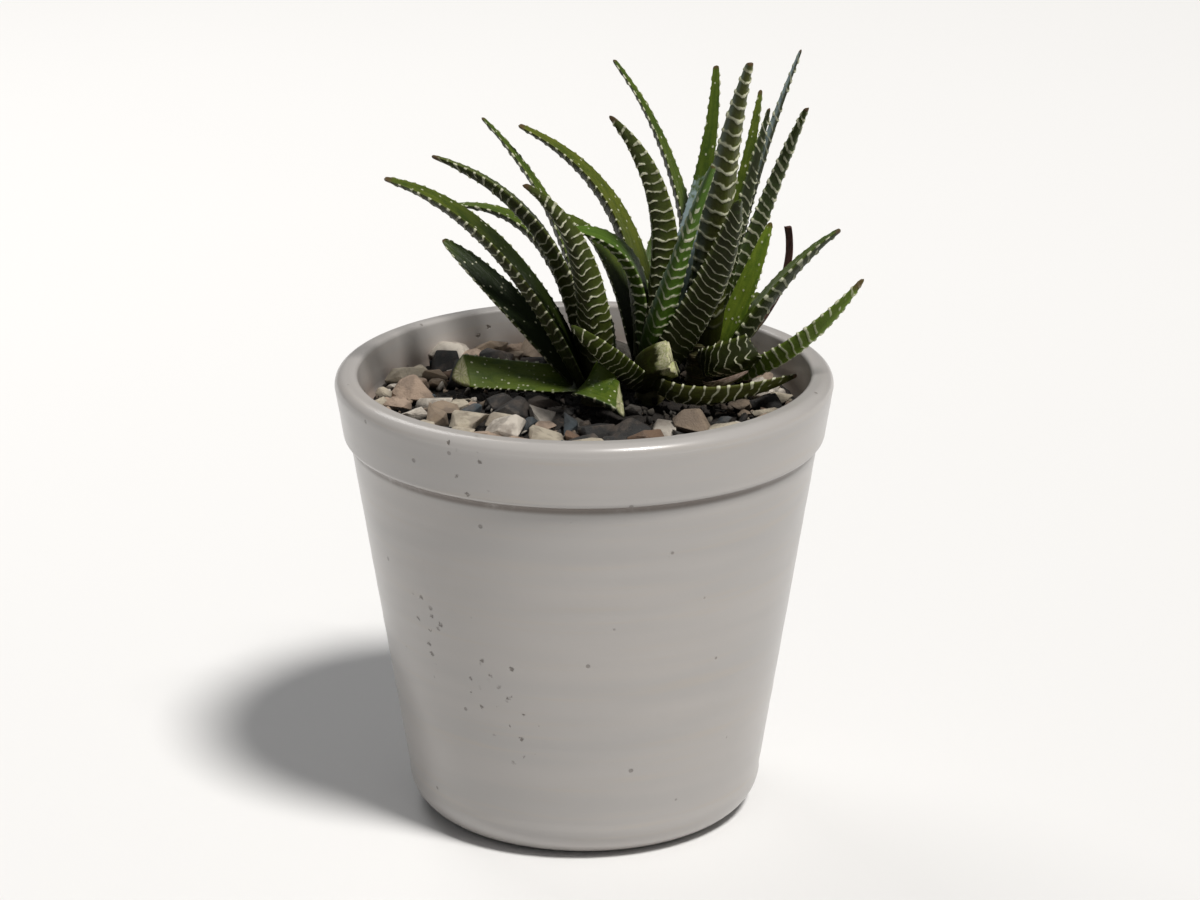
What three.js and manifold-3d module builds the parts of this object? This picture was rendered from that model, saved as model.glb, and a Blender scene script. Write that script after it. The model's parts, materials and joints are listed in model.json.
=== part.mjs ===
// Potted haworthia: a clump of ridged leaves on three short stems, in a round glazed pot of
// gravel. Millimetres, +Z up, origin at the middle of the pot's flat base. The front is towards -Y.
import * as THREE from 'three';
import { mergeVertices } from 'three/addons/utils/BufferGeometryUtils.js';
import Module from 'manifold-3d';

const wasm = await Module();
wasm.setup();

// ---------------------------------------------------------------- driving dimensions

const CLEARANCE = 0.3; // between two pieces that touch
const MERGE = 1e-4; // corners nearer than this are one corner

const POT = {
  height: 110.5,
  rimRadius: 60,
  rimRound: 3,
  bandHeight: 16,
  bandFootRadius: 58.2, // the band tapers in a little towards its lower lip
  lipRound: 1.6,
  shoulderRadius: 56.5, // the body just under the band
  heelRadius: 43.3, // the body just above the rounded foot
  footRound: 9.5,
  mouthRadius: 54.4,
  mouthBevel: 1.1,
  wall: 5.4,
  floor: 8,
  facets: 60,
  footSteps: 4, // straight steps in each rounded edge
  lipSteps: 2,
  rimSteps: 3,
};

const SOIL_TOP = 92;

const GRAVEL = {
  bedTop: 101,
  smallest: 3.8, // half sizes of the stones
  largest: 7.4,
  flatness: 0.7, // height over width
  proud: 0.3, // how far a stone's middle stands over the bed, as a share of its half height
  unevenness: 0.22, // how far a corner leaves the round shape, as a share
  margin: 1, // between a stone and a stem or a leaf
  closeness: 0.8, // least distance of two stones, as a share of their half sizes together
  lookSteps: 7, // places along a leaf where its distance is looked at
  tries: 4000,
  seed: 41,
};

// The three short stems. A leaf starts on its stem, at a height over the stem's datum level.
const STEMS = {
  left: { name: 'left_stem', x: 3, y: 4, level: 102, top: 112, foot: 72, radius: 4 },
  middle: { name: 'middle_stem', x: 16, y: 7, level: 103, top: 114, foot: 72, radius: 4 },
  right: { name: 'right_stem', x: 29, y: 12, level: 104, top: 118, foot: 72, radius: 4.6 },
};

const STEM_SHAPE = { facets: 12, domeSteps: 3 };

// How a leaf narrows to its tip: a low power gives a slender tip, a high one a blunt tip.
// A cut leaf keeps its width to the end.
const TAPER = { slender: 1.8, full: 3, blunt: 4.5 };

const LEAF = {
  thickness: 0.48, // of the width
  edge: 0.4, // how far the two edges lie over the centre line, as a share of the thickness
  rootWidth: 0.72, // of the full width, where the leaf leaves its stem
  rootStretch: 0.2, // of the length, over which the root widens to the full leaf
  hollow: 0.1, // how deep the upper face is, as a share of the width
  shoulder: 0.64, // height and reach of the back's side edges, as shares
  tipWidth: 0.2, // of the full width
  startRadius: 2.5, // from the stem's axis; the stem then trims the root
  tooth: 0.25, // how far a band stands out at the leaf's edges
  fewestBands: 3,
  lengthSteps: 12,
};

// The raised bands across the back, and the teeth that they end in on both edges.
const RIDGE = { pitch: 5, height: 0.55, sweep: 0.6, first: 0.14, last: 0.95 };

// The room round a leaf: how far its parts move out, as shares of the clearance.
const ROOM = { share: 2, face: 1.5, edge: 0.6 };

// One row for each leaf: its stem, where it starts round that stem (degrees, 0 is +X, and mm
// over the datum level), where its middle and its tip are, its greatest width, the twist of
// its upper face about its length (degrees), its taper and its end.
// Leaves in front come first, because a later leaf gives way where two bases meet.
const LEAVES = [
  ['left_leaf_front', 'left', 260, 4, [-1, -8, 140], [-14, -19, 161], 9, 0, 'slender', 'brown'],
  ['middle_leaf_short', 'middle', 235, 1, [5, -10, 117], [-3, -16, 126], 8.5, 0, 'blunt', 'green'],
  ['left_leaf_long', 'left', 185, 2, [-20.5, -2, 140.8], [-47, -6, 159], 9, -9, 'full', 'brown'],
  ['middle_leaf_low', 'middle', 260, 5, [28, -9, 106], [51, -4, 110], 7, 0, 'full', 'brown'],
  ['left_stub_side', 'left', 185, 3, [-17, 7, 105.5], [-32.5, 8, 107], 9, -45, 'cut', 'cut'],
  ['left_stub_front', 'left', 260, 5, [3, -8, 108], [11, -13, 104.5], 10, 35, 'cut', 'cut'],
  ['middle_stub_torn', 'middle', 260, 2, [16, -1, 110], [22, -5, 114], 10, -30, 'cut', 'torn'],
  ['left_leaf_broad', 'left', 155, 1, [-18, 14, 122], [-34.5, 20, 137], 8.5, -20, 'blunt', 'green'],
  ['left_leaf_arched', 'left', 195, 6, [-10, 3, 143], [-36, 0, 163], 8, -4, 'full', 'brown'],
  ['left_leaf_bent', 'left', 160, 3, [-10, 11, 138], [-33, 18, 146], 6.8, 0, 'full', 'green'],
  ['left_leaf_tall', 'left', 125, 6, [-6, 20, 139], [-25, 30, 165], 7.5, 0, 'slender', 'green'],
  ['left_leaf_rear_1', 'left', 100, 2, [3, 24, 114], [1, 38, 117], 9, 0, 'full', 'green'],
  ['left_leaf_rear_2', 'left', 135, 2, [-8, 20, 111], [-15, 35, 116], 9, 0, 'full', 'green'],
  ['left_leaf_rear_3', 'left', 95, 5, [0, 20, 120], [-1, 34, 129], 8, 0, 'full', 'green'],

  ['middle_leaf_beaded', 'middle', 240, 6, [23, -10, 142], [30, -21, 166], 7.5, 0, 'full', 'green'],
  ['middle_leaf_inner', 'middle', 215, 8, [18, 1, 147], [6, -5, 174], 8.8, 0, 'blunt', 'brown'],
  ['middle_leaf_side', 'middle', 190, 4, [12, 6, 133], [-3, 0, 145], 8, -28, 'blunt', 'green'],
  ['middle_leaf_wide', 'middle', 155, 8, [8.5, 20, 144.5], [-16, 26, 164], 9.5, -4, 'slender', 'green'],
  ['middle_leaf_silver', 'middle', 45, 9, [30, 18, 149], [32, 30, 178], 6.8, 0, 'slender', 'green'],
  ['middle_leaf_dark', 'middle', 140, 3, [6, 28, 129], [-6, 36, 139], 7, 0, 'full', 'green'],
  ['middle_leaf_pale', 'middle', 110, 0, [15, 26, 121], [10, 36, 130], 6, 0, 'full', 'green'],
  ['middle_leaf_rear', 'middle', 90, 5, [17, 22, 126], [19, 35, 138], 8, 0, 'full', 'green'],
  ['middle_leaf_front', 'middle', 315, 4, [31, -6, 134], [36, -18, 157], 12, 0, 'full', 'green'],

  ['right_leaf_long', 'right', 290, 9, [33, 1, 154], [39, -6, 187], 8, 0, 'slender', 'green'],
  ['right_stub_broken', 'right', 300, 4, [33, -1, 112], [42, -3, 116], 9, -50, 'cut', 'broken'],
  ['right_leaf_low', 'right', 330, 1, [49, -7, 117], [66, -11, 136], 6, 0, 'full', 'brown'],
  ['right_bract', 'right', 290, 0, [32, -3, 107], [39, -9, 112.5], 3.4, -30, 'full', 'dry'],
  ['right_leaf_spread', 'right', 0, 1, [46, 4, 129.5], [61, 0, 145], 9.2, 0, 'slender', 'green'],
  ['right_leaf_plain', 'right', 15, 3, [38.3, 13, 127], [45, 14, 143], 5, 30, 'full', 'brown'],
  ['right_leaf_slim', 'right', 325, 13, [38, 8, 147], [44, 7, 173], 7, 0, 'slender', 'green'],
  ['right_leaf_lean', 'right', 350, 7, [44, 16, 146], [53, 7, 173], 7.4, -50, 'slender', 'green'],
  ['right_leaf_outer', 'right', 25, 11, [41, 21, 151], [52, 21, 184], 6, -35, 'slender', 'green'],
  ['right_leaf_upright', 'right', 70, 11, [38, 23, 147], [43, 34, 171], 5.4, 0, 'slender', 'green'],
  ['right_leaf_top', 'right', 150, 8, [22.5, 24, 149], [7, 36, 178], 8, 0, 'slender', 'green'],
  ['right_leaf_dried', 'right', 40, 1, [47, 21.5, 122], [49.7, 24, 140], 2.2, 0, 'cut', 'dry'],
  ['right_leaf_rear_1', 'right', 130, 1, [19, 28, 119], [12, 38, 125], 9, 0, 'full', 'green'],
  ['right_leaf_rear_2', 'right', 95, 3, [29, 29, 120], [29, 41, 127], 9, 0, 'full', 'green'],
  ['right_leaf_rear_3', 'right', 60, 1, [38, 26, 116], [44, 34, 119], 8, 0, 'full', 'green'],
  ['right_leaf_rear_4', 'right', 80, 8, [32, 25, 130], [34, 38, 142], 8, 0, 'full', 'green'],
].map(([name, stem, azimuth, rise, middle, tip, width, twist, taper, end]) => (
  { name, stem, azimuth, rise, middle, tip, width, twist, taper, end }
));

// ---------------------------------------------------------------- materials

const MATERIALS = {
  ceramic: new THREE.MeshStandardMaterial({ color: 0xb9b2aa, roughness: 0.3, metalness: 0 }),
  soil: new THREE.MeshStandardMaterial({ color: 0x2f241c, roughness: 1, metalness: 0 }),
  stone: new THREE.MeshStandardMaterial({ color: 0xa89a86, roughness: 0.9, metalness: 0 }),
  stem: new THREE.MeshStandardMaterial({ color: 0x6d6b3a, roughness: 0.8, metalness: 0 }),
  leaf: new THREE.MeshStandardMaterial({ color: 0x3f5a22, roughness: 0.45, metalness: 0 }),
  dry: new THREE.MeshStandardMaterial({ color: 0x4a2a1c, roughness: 0.9, metalness: 0 }),
};

// ---------------------------------------------------------------- solids

// A closed mesh as a solid that can be joined and cut.
function solidOf(geometry) {
  geometry.deleteAttribute('normal');
  geometry.deleteAttribute('uv');
  const merged = mergeVertices(geometry, MERGE);
  const vertProperties = new Float32Array(merged.attributes.position.array);
  const triVerts = new Uint32Array(merged.index.array);
  return new wasm.Manifold(new wasm.Mesh({ numProp: 3, vertProperties, triVerts }));
}

// The same solid as a mesh of the object.
function meshOf(name, solid, material) {
  const { vertProperties, triVerts } = solid.getMesh();
  const geometry = new THREE.BufferGeometry();
  geometry.setAttribute('position', new THREE.BufferAttribute(vertProperties, 3));
  geometry.setIndex(new THREE.BufferAttribute(triVerts, 1));
  geometry.computeVertexNormals();
  const mesh = new THREE.Mesh(geometry, material);
  mesh.name = name;
  return mesh;
}

// The largest of the separate bodies that a cut leaves.
function largestBody(solid) {
  const bodies = solid.decompose();
  return bodies.reduce((best, body) => (body.volume() > best.volume() ? body : best));
}

// A profile of [radius, height] points, turned about the Z axis.
function turned(profile, facets) {
  const points = profile.map(([radius, height]) => new THREE.Vector2(radius, height));
  const geometry = new THREE.LatheGeometry(points, facets);
  geometry.rotateX(Math.PI / 2);
  return solidOf(geometry);
}

// Points on an arc of a profile, from one angle to another in degrees.
function arc(radius, height, round, from, to, steps) {
  return Array.from({ length: steps + 1 }, (_, i) => {
    const angle = THREE.MathUtils.degToRad(from + ((to - from) * i) / steps);
    return [radius + round * Math.cos(angle), height + round * Math.sin(angle)];
  });
}

// ---------------------------------------------------------------- pot and soil

// The slope of the body's side, as radius gained for each mm of height.
const bandFoot = POT.height - POT.bandHeight;
const slope = (POT.shoulderRadius - POT.heelRadius) / (bandFoot - POT.footRound);

// The inner wall's radius at a height.
function innerRadius(height) {
  return POT.shoulderRadius - POT.wall + slope * (height - bandFoot);
}

function pot() {
  const { height, rimRadius, rimRound, bandFootRadius, lipRound, shoulderRadius } = POT;
  const { heelRadius, footRound, mouthRadius, mouthBevel, floor } = POT;
  const profile = [
    [0, 0],
    ...arc(heelRadius - footRound, footRound, footRound, -90, 0, POT.footSteps),
    [shoulderRadius, bandFoot],
    ...arc(bandFootRadius - lipRound, bandFoot + lipRound, lipRound, -60, 0, POT.lipSteps),
    ...arc(rimRadius - rimRound, height - rimRound, rimRound, 0, 90, POT.rimSteps),
    [mouthRadius + mouthBevel, height],
    [mouthRadius, height - mouthBevel],
    [innerRadius(bandFoot), bandFoot],
    [innerRadius(floor), floor],
    [0, floor],
  ];
  return turned(profile, POT.facets);
}

// A plug of the pot's inside between two heights, clear of its wall.
function filling(bottom, top) {
  return turned([
    [0, bottom],
    [innerRadius(bottom) - CLEARANCE, bottom],
    [innerRadius(top) - CLEARANCE, top],
    [0, top],
  ], POT.facets);
}

// ---------------------------------------------------------------- stems

// A round stem with a domed top, standing upright; grow makes it larger all round.
function stem({ x, y, top, foot, radius }, grow = 0) {
  const round = radius + grow;
  const profile = [
    [0, foot - grow],
    [round, foot - grow],
    ...arc(0, top - radius, round, 0, 90, STEM_SHAPE.domeSteps),
  ];
  return turned(profile, STEM_SHAPE.facets).translate([x, y, 0]);
}

// The filling between two heights, with a plain hole for each stem.
function bed(bottom, top) {
  const holes = Object.values(STEMS).map((row) => stem(row, CLEARANCE));
  return wasm.Manifold.difference([filling(bottom, top), ...holes]);
}

// ---------------------------------------------------------------- leaves

const UP = new THREE.Vector3(0, 0, 1);

// The shares 0 to 1 in equal steps.
function shares(steps) {
  return Array.from({ length: steps + 1 }, (_, i) => i / steps);
}

// A leaf's centre line as a function: at a share of its length it gives the place, the
// direction along the leaf, the way its upper face looks and the way to its side. The curve
// passes through the middle point halfway, so its control point lies twice as far out.
function centreLine({ stem: key, azimuth, rise, middle, tip, twist }) {
  const { x, y, level } = STEMS[key];
  const angle = THREE.MathUtils.degToRad(azimuth);
  const outward = new THREE.Vector3(Math.cos(angle), Math.sin(angle), 0);
  const root = new THREE.Vector3(x, y, level + rise).addScaledVector(outward, LEAF.startRadius);
  const end = new THREE.Vector3(...tip);
  const bend = new THREE.Vector3(...middle).multiplyScalar(2);
  bend.addScaledVector(root, -0.5).addScaledVector(end, -0.5);
  const curve = new THREE.QuadraticBezierCurve3(root, bend, end);
  const inward = UP.clone().sub(outward);
  return (share) => {
    const along = curve.getTangentAt(share);
    const face = inward.clone().addScaledVector(along, -inward.dot(along)).normalize();
    face.applyAxisAngle(along, THREE.MathUtils.degToRad(twist));
    const side = new THREE.Vector3().crossVectors(along, face);
    return { at: curve.getPointAt(share), along, face, side };
  };
}

// The straight-line length of a leaf's centre line, taken in short steps.
function lengthOf(row) {
  const line = centreLine(row);
  const places = shares(LEAF.lengthSteps).map((share) => line(share).at);
  return places.slice(1).reduce((sum, at, i) => sum + at.distanceTo(places[i]), 0);
}

// Half a leaf's width at a share of its length. A cut leaf keeps its width to the end.
function halfWidth(share, { width, taper }) {
  const root = Math.min(1, LEAF.rootWidth + ((1 - LEAF.rootWidth) * share) / LEAF.rootStretch);
  const lost = taper === 'cut' ? 0 : share ** TAPER[taper];
  return (width / 2) * root * (1 - (1 - LEAF.tipWidth) * lost);
}

// The six points of a leaf's section, each as [across, over the centre line, along]. They go
// from one edge round the keeled back to the other edge, and end in the hollow upper face.
// raise is the height of a band here, and room is how much larger the section is all round.
function section(share, row, raise, room) {
  const bare = halfWidth(share, row);
  const half = bare + room + LEAF.tooth * raise;
  const depth = 2 * bare * LEAF.thickness;
  const edge = LEAF.edge * depth;
  const back = edge - depth - room - raise * RIDGE.height;
  const shoulder = LEAF.shoulder * half;
  const flank = edge + LEAF.shoulder * (back - edge);
  const sweep = -raise * RIDGE.sweep;
  const top = edge - LEAF.hollow * row.width * (1 - share) + ROOM.face * room;
  const rim = edge + ROOM.edge * room;
  return [
    [-half, rim, 0],
    [-shoulder, flank, sweep / 2],
    [0, back, sweep],
    [shoulder, flank, sweep / 2],
    [half, rim, 0],
    [0, top, 0],
  ];
}

// The shares of the length at which a leaf has a ring of points: its two ends, and between
// them the valleys and the crests of its bands in turn.
function ringShares(row, pitch) {
  const reach = RIDGE.last - RIDGE.first;
  const bands = Math.max(LEAF.fewestBands, Math.round((reach * lengthOf(row)) / pitch));
  return [0, ...shares(2 * bands).map((share) => RIDGE.first + reach * share), 1];
}

// A closed body from rings of the same number of points, in order along the body.
function lofted(rings) {
  const sides = rings[0].length;
  const last = (rings.length - 1) * sides;
  const index = [];
  for (let ring = 0; ring < last; ring += sides) {
    for (let k = 0; k < sides; k += 1) {
      const a = ring + k;
      const b = ring + ((k + 1) % sides);
      index.push(a, b + sides, b, a, a + sides, b + sides);
    }
  }
  for (let k = 1; k < sides - 1; k += 1) {
    index.push(0, k, k + 1);
    index.push(last, last + k + 1, last + k);
  }
  const positions = new Float32Array(rings.flat().flatMap((point) => point.toArray()));
  const geometry = new THREE.BufferGeometry();
  geometry.setAttribute('position', new THREE.BufferAttribute(positions, 3));
  geometry.setIndex(index);
  return solidOf(geometry);
}

// A leaf with its raised bands. With grow it is the room that the leaf needs among its
// neighbours instead: larger all round by that much and by the height of the bands.
function leaf(row, grow = 0) {
  const line = centreLine(row);
  const smooth = grow > 0 || row.end === 'dry';
  const places = ringShares(row, smooth ? 2 * RIDGE.pitch : RIDGE.pitch);
  const room = grow > 0 ? ROOM.share * grow + RIDGE.height : 0;
  const last = places.length - 1;
  const rings = places.map((share, ring) => {
    const { at, along, face, side } = line(share);
    const isBand = !smooth && ring % 2 === 0 && ring > 0 && ring < last;
    const past = room * ((ring === last) - (ring === 0));
    return section(share, row, isBand ? 1 : 0, room).map(([across, over, ahead]) => (
      at.clone().addScaledVector(side, across).addScaledVector(face, over)
        .addScaledVector(along, ahead + past)
    ));
  });
  return lofted(rings);
}

// ---------------------------------------------------------------- gravel

// Repeatable random numbers from 0 to 1.
function randomFrom(seed) {
  let state = seed;
  return () => {
    state = (state * 1664525 + 1013904223) % 2 ** 32;
    return state / 2 ** 32;
  };
}

// One angular stone: a twenty-faced body with uneven corners, flattened and turned.
function stone({ x, y, z, radius }, random) {
  const geometry = new THREE.IcosahedronGeometry(1, 0);
  geometry.deleteAttribute('normal');
  geometry.deleteAttribute('uv');
  const rough = mergeVertices(geometry, MERGE);
  const corner = new THREE.Vector3();
  const corners = rough.attributes.position;
  for (let i = 0; i < corners.count; i += 1) {
    corner.fromBufferAttribute(corners, i).multiplyScalar(1 - GRAVEL.unevenness * random());
    corners.setXYZ(i, corner.x, corner.y, corner.z);
  }
  rough.rotateX(Math.PI * random());
  rough.rotateY(Math.PI * random());
  rough.scale(radius, radius, radius * GRAVEL.flatness);
  rough.translate(x, y, z);
  return solidOf(rough);
}

// Whether a stone's place is clear of every leaf that passes low over the bed.
function clearOfLeaves(x, y, size, top) {
  return LEAVES.every((row) => {
    const half = row.width / 2 + GRAVEL.margin;
    const line = centreLine(row);
    return shares(GRAVEL.lookSteps).every((share) => {
      const { at } = line(share);
      return at.z - half > top || Math.hypot(at.x - x, at.y - y) > size + half;
    });
  });
}

// Whether a round place is apart from every place of a list of { x, y, radius }, where share
// is how much of the two radii together has to lie between them.
function apartFrom(list, x, y, radius, share = 1) {
  return list.every((other) => (
    Math.hypot(other.x - x, other.y - y) > share * (other.radius + radius)
  ));
}

// The bed with its stones, larger ones first, each set down where there is room for it.
function gravel() {
  const { bedTop, smallest, largest, flatness, proud, margin, closeness, tries, seed } = GRAVEL;
  const random = randomFrom(seed);
  const stems = Object.values(STEMS);
  const places = [];
  for (let i = 0; i < tries; i += 1) {
    const radius = largest - ((largest - smallest) * i) / tries;
    const reach = (innerRadius(bedTop) - radius - CLEARANCE) * Math.sqrt(random());
    const angle = 2 * Math.PI * random();
    const [x, y] = [reach * Math.cos(angle), reach * Math.sin(angle)];
    const height = radius * flatness;
    const z = bedTop + height * proud;
    const free = apartFrom(places, x, y, radius, closeness)
      && apartFrom(stems, x, y, radius + margin)
      && clearOfLeaves(x, y, radius, z + height);
    if (free) places.push({ x, y, z, radius });
  }
  const stones = places.map((place) => stone(place, random));
  return wasm.Manifold.union([bed(SOIL_TOP + CLEARANCE, bedTop), ...stones]);
}

// ---------------------------------------------------------------- assembly

const plant = new THREE.Group();
plant.add(meshOf('pot', pot(), MATERIALS.ceramic));
plant.add(meshOf('soil', bed(POT.floor + CLEARANCE, SOIL_TOP), MATERIALS.soil));
plant.add(meshOf('gravel', gravel(), MATERIALS.stone));

// The room that is taken already: the stems first, and then each leaf in its turn.
const taken = [];
Object.values(STEMS).forEach((row) => {
  plant.add(meshOf(row.name, stem(row), MATERIALS.stem));
  taken.push(stem(row, CLEARANCE));
});
LEAVES.forEach((row) => {
  const trimmed = largestBody(wasm.Manifold.difference([leaf(row), ...taken]));
  plant.add(meshOf(row.name, trimmed, row.end === 'dry' ? MATERIALS.dry : MATERIALS.leaf));
  taken.push(leaf(row, CLEARANCE));
});

export default plant;
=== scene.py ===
import json
import math
import random
from types import SimpleNamespace

import bmesh
import bpy
from bpy.props import FloatProperty, FloatVectorProperty, IntProperty, PointerProperty
from bpy.types import Operator, Panel, PropertyGroup
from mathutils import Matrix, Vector, noise

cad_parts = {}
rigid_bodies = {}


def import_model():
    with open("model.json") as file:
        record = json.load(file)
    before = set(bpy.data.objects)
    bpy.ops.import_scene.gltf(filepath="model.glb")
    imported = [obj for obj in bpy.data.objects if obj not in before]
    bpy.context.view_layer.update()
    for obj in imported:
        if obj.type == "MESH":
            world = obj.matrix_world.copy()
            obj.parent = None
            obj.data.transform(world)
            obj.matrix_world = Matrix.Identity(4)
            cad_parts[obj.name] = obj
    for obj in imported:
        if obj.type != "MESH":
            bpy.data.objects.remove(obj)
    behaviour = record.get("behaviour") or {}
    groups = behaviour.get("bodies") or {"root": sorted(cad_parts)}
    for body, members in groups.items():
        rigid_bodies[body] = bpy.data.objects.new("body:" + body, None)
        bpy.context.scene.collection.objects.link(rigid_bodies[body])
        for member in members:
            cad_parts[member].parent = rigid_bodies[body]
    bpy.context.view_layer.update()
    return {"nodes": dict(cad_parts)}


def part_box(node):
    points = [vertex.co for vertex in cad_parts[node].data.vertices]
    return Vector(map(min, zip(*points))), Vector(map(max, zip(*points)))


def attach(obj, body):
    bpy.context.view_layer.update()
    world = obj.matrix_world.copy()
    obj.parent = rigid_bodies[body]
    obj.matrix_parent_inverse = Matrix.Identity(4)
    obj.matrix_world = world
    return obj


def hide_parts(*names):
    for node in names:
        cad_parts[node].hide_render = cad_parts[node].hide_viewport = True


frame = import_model()

bl_info = {
    "name": "Potted haworthia",
    "version": (1, 0, 0),
    "blender": (4, 5, 0),
    "location": "3D View > Sidebar > Haworthia",
    "description": "Builds a ridged succulent in a glazed pot of gravel, piece by piece",
    "category": "Add Mesh",
}

MM = 0.001
BODY = "root"
UP = Vector((0, 0, 1))

# ---------------------------------------------------------------- sizes

POT_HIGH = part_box("pot")[1]
BED_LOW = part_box("gravel")[0][2] / MM

POT = {
    "height": POT_HIGH[2] / MM,
    "rim_radius": POT_HIGH[0] / MM,
    "rim_round": 3.0,
    "band_height": 16.0,
    "band_foot_radius": 58.2,
    "lip_round": 1.6,
    "lip_start": -70,  # angle where the band's rounded lower edge starts
    "neck": 0.35,  # how far the side swells out to meet the band
    "shoulder_radius": 56.5,
    "heel_radius": 43.3,
    "foot_round": 9.5,
    "mouth_radius": 54.4,
    "mouth_round": 1.1,
    "wall": 5.4,
    "floor": 8.0,
    "floor_slope": 3.0,  # width and height of the slope from the wall to the floor
    "step_top": 6.0,  # of the small step inside the rim, over the foot of the band
    "step_foot": 4.5,
    "step_depth": 1.2,
    "segments": 240,
    "side_step": 0.9,  # height of one step of the side, fine enough for the throwing rings
}
BAND_FOOT = POT["height"] - POT["band_height"]
SIDE_SLOPE = (POT["shoulder_radius"] - POT["heel_radius"]) / (BAND_FOOT - POT["foot_round"])

BED = {
    "top": 101.0,
    "sunk": 0.6,  # how far its mean level lies under that top
    "clearance": 0.3,  # to the pot's wall
    "unevenness": 0.9,
    "hollows": 0.22,  # scale of its hollows, per mm
    "rings": 60,
    "segments": 120,
}

# The three short stems: their axis, the datum level of their leaves, top, foot and radius.
STEMS = {
    "left": {"x": 3, "y": 4, "level": 102, "top": 112, "foot": 72, "radius": 4.0},
    "middle": {"x": 16, "y": 7, "level": 103, "top": 114, "foot": 72, "radius": 4.0},
    "right": {"x": 29, "y": 12, "level": 104, "top": 118, "foot": 72, "radius": 4.6},
}
STEM_STEP = 0.7  # height of one step of a stem's side
STEM_SEGMENTS = 40
SCAR_DEPTH = 0.25

# The power by which a leaf narrows towards its tip: at 1 it narrows evenly, and with a higher
# power it keeps its width for longer and ends blunter. A leaf with a cut end doesn't narrow.
TAPER = {"needle": 1.0, "spindle": 1.25, "slender": 1.8, "full": 3.0, "blunt": 4.5, "cut": 1.0}

LEAF = {
    "thickness": 0.48,  # of the width
    "edge": 0.4,  # height of the two edges over the centre line, of the thickness
    "root_width": 0.72,  # of the full width, where the leaf leaves its stem
    "root_stretch": 0.2,  # of the length, over which the root widens to the full leaf
    "hollow": 0.1,  # depth of the upper face at the root, of the width
    "tip_width": 0.18,  # of the full width
    "start_radius": 2.5,  # from the stem's axis
    "tip_round": 0.8,  # length of the rounded tip
    "back_share": 0.64,  # of the points round the leaf that lie on its back
    "keel_round": 1.45,  # power that rounds the keel
    "flank_round": 0.78,  # power that fills out the two flanks
    "crown": 0.05,  # how far the upper face is domed, in half widths
    "dot_height": 0.12,
    "lump_height": 0.3,
    "line_steps": 96,
    "first_seed": 11.0,
    "seed_step": 7.3,  # from one leaf to the next
    "lit_lean": 20,  # a leaf whose tip lies farther left of its stem is lit on its upper flank
}

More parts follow.
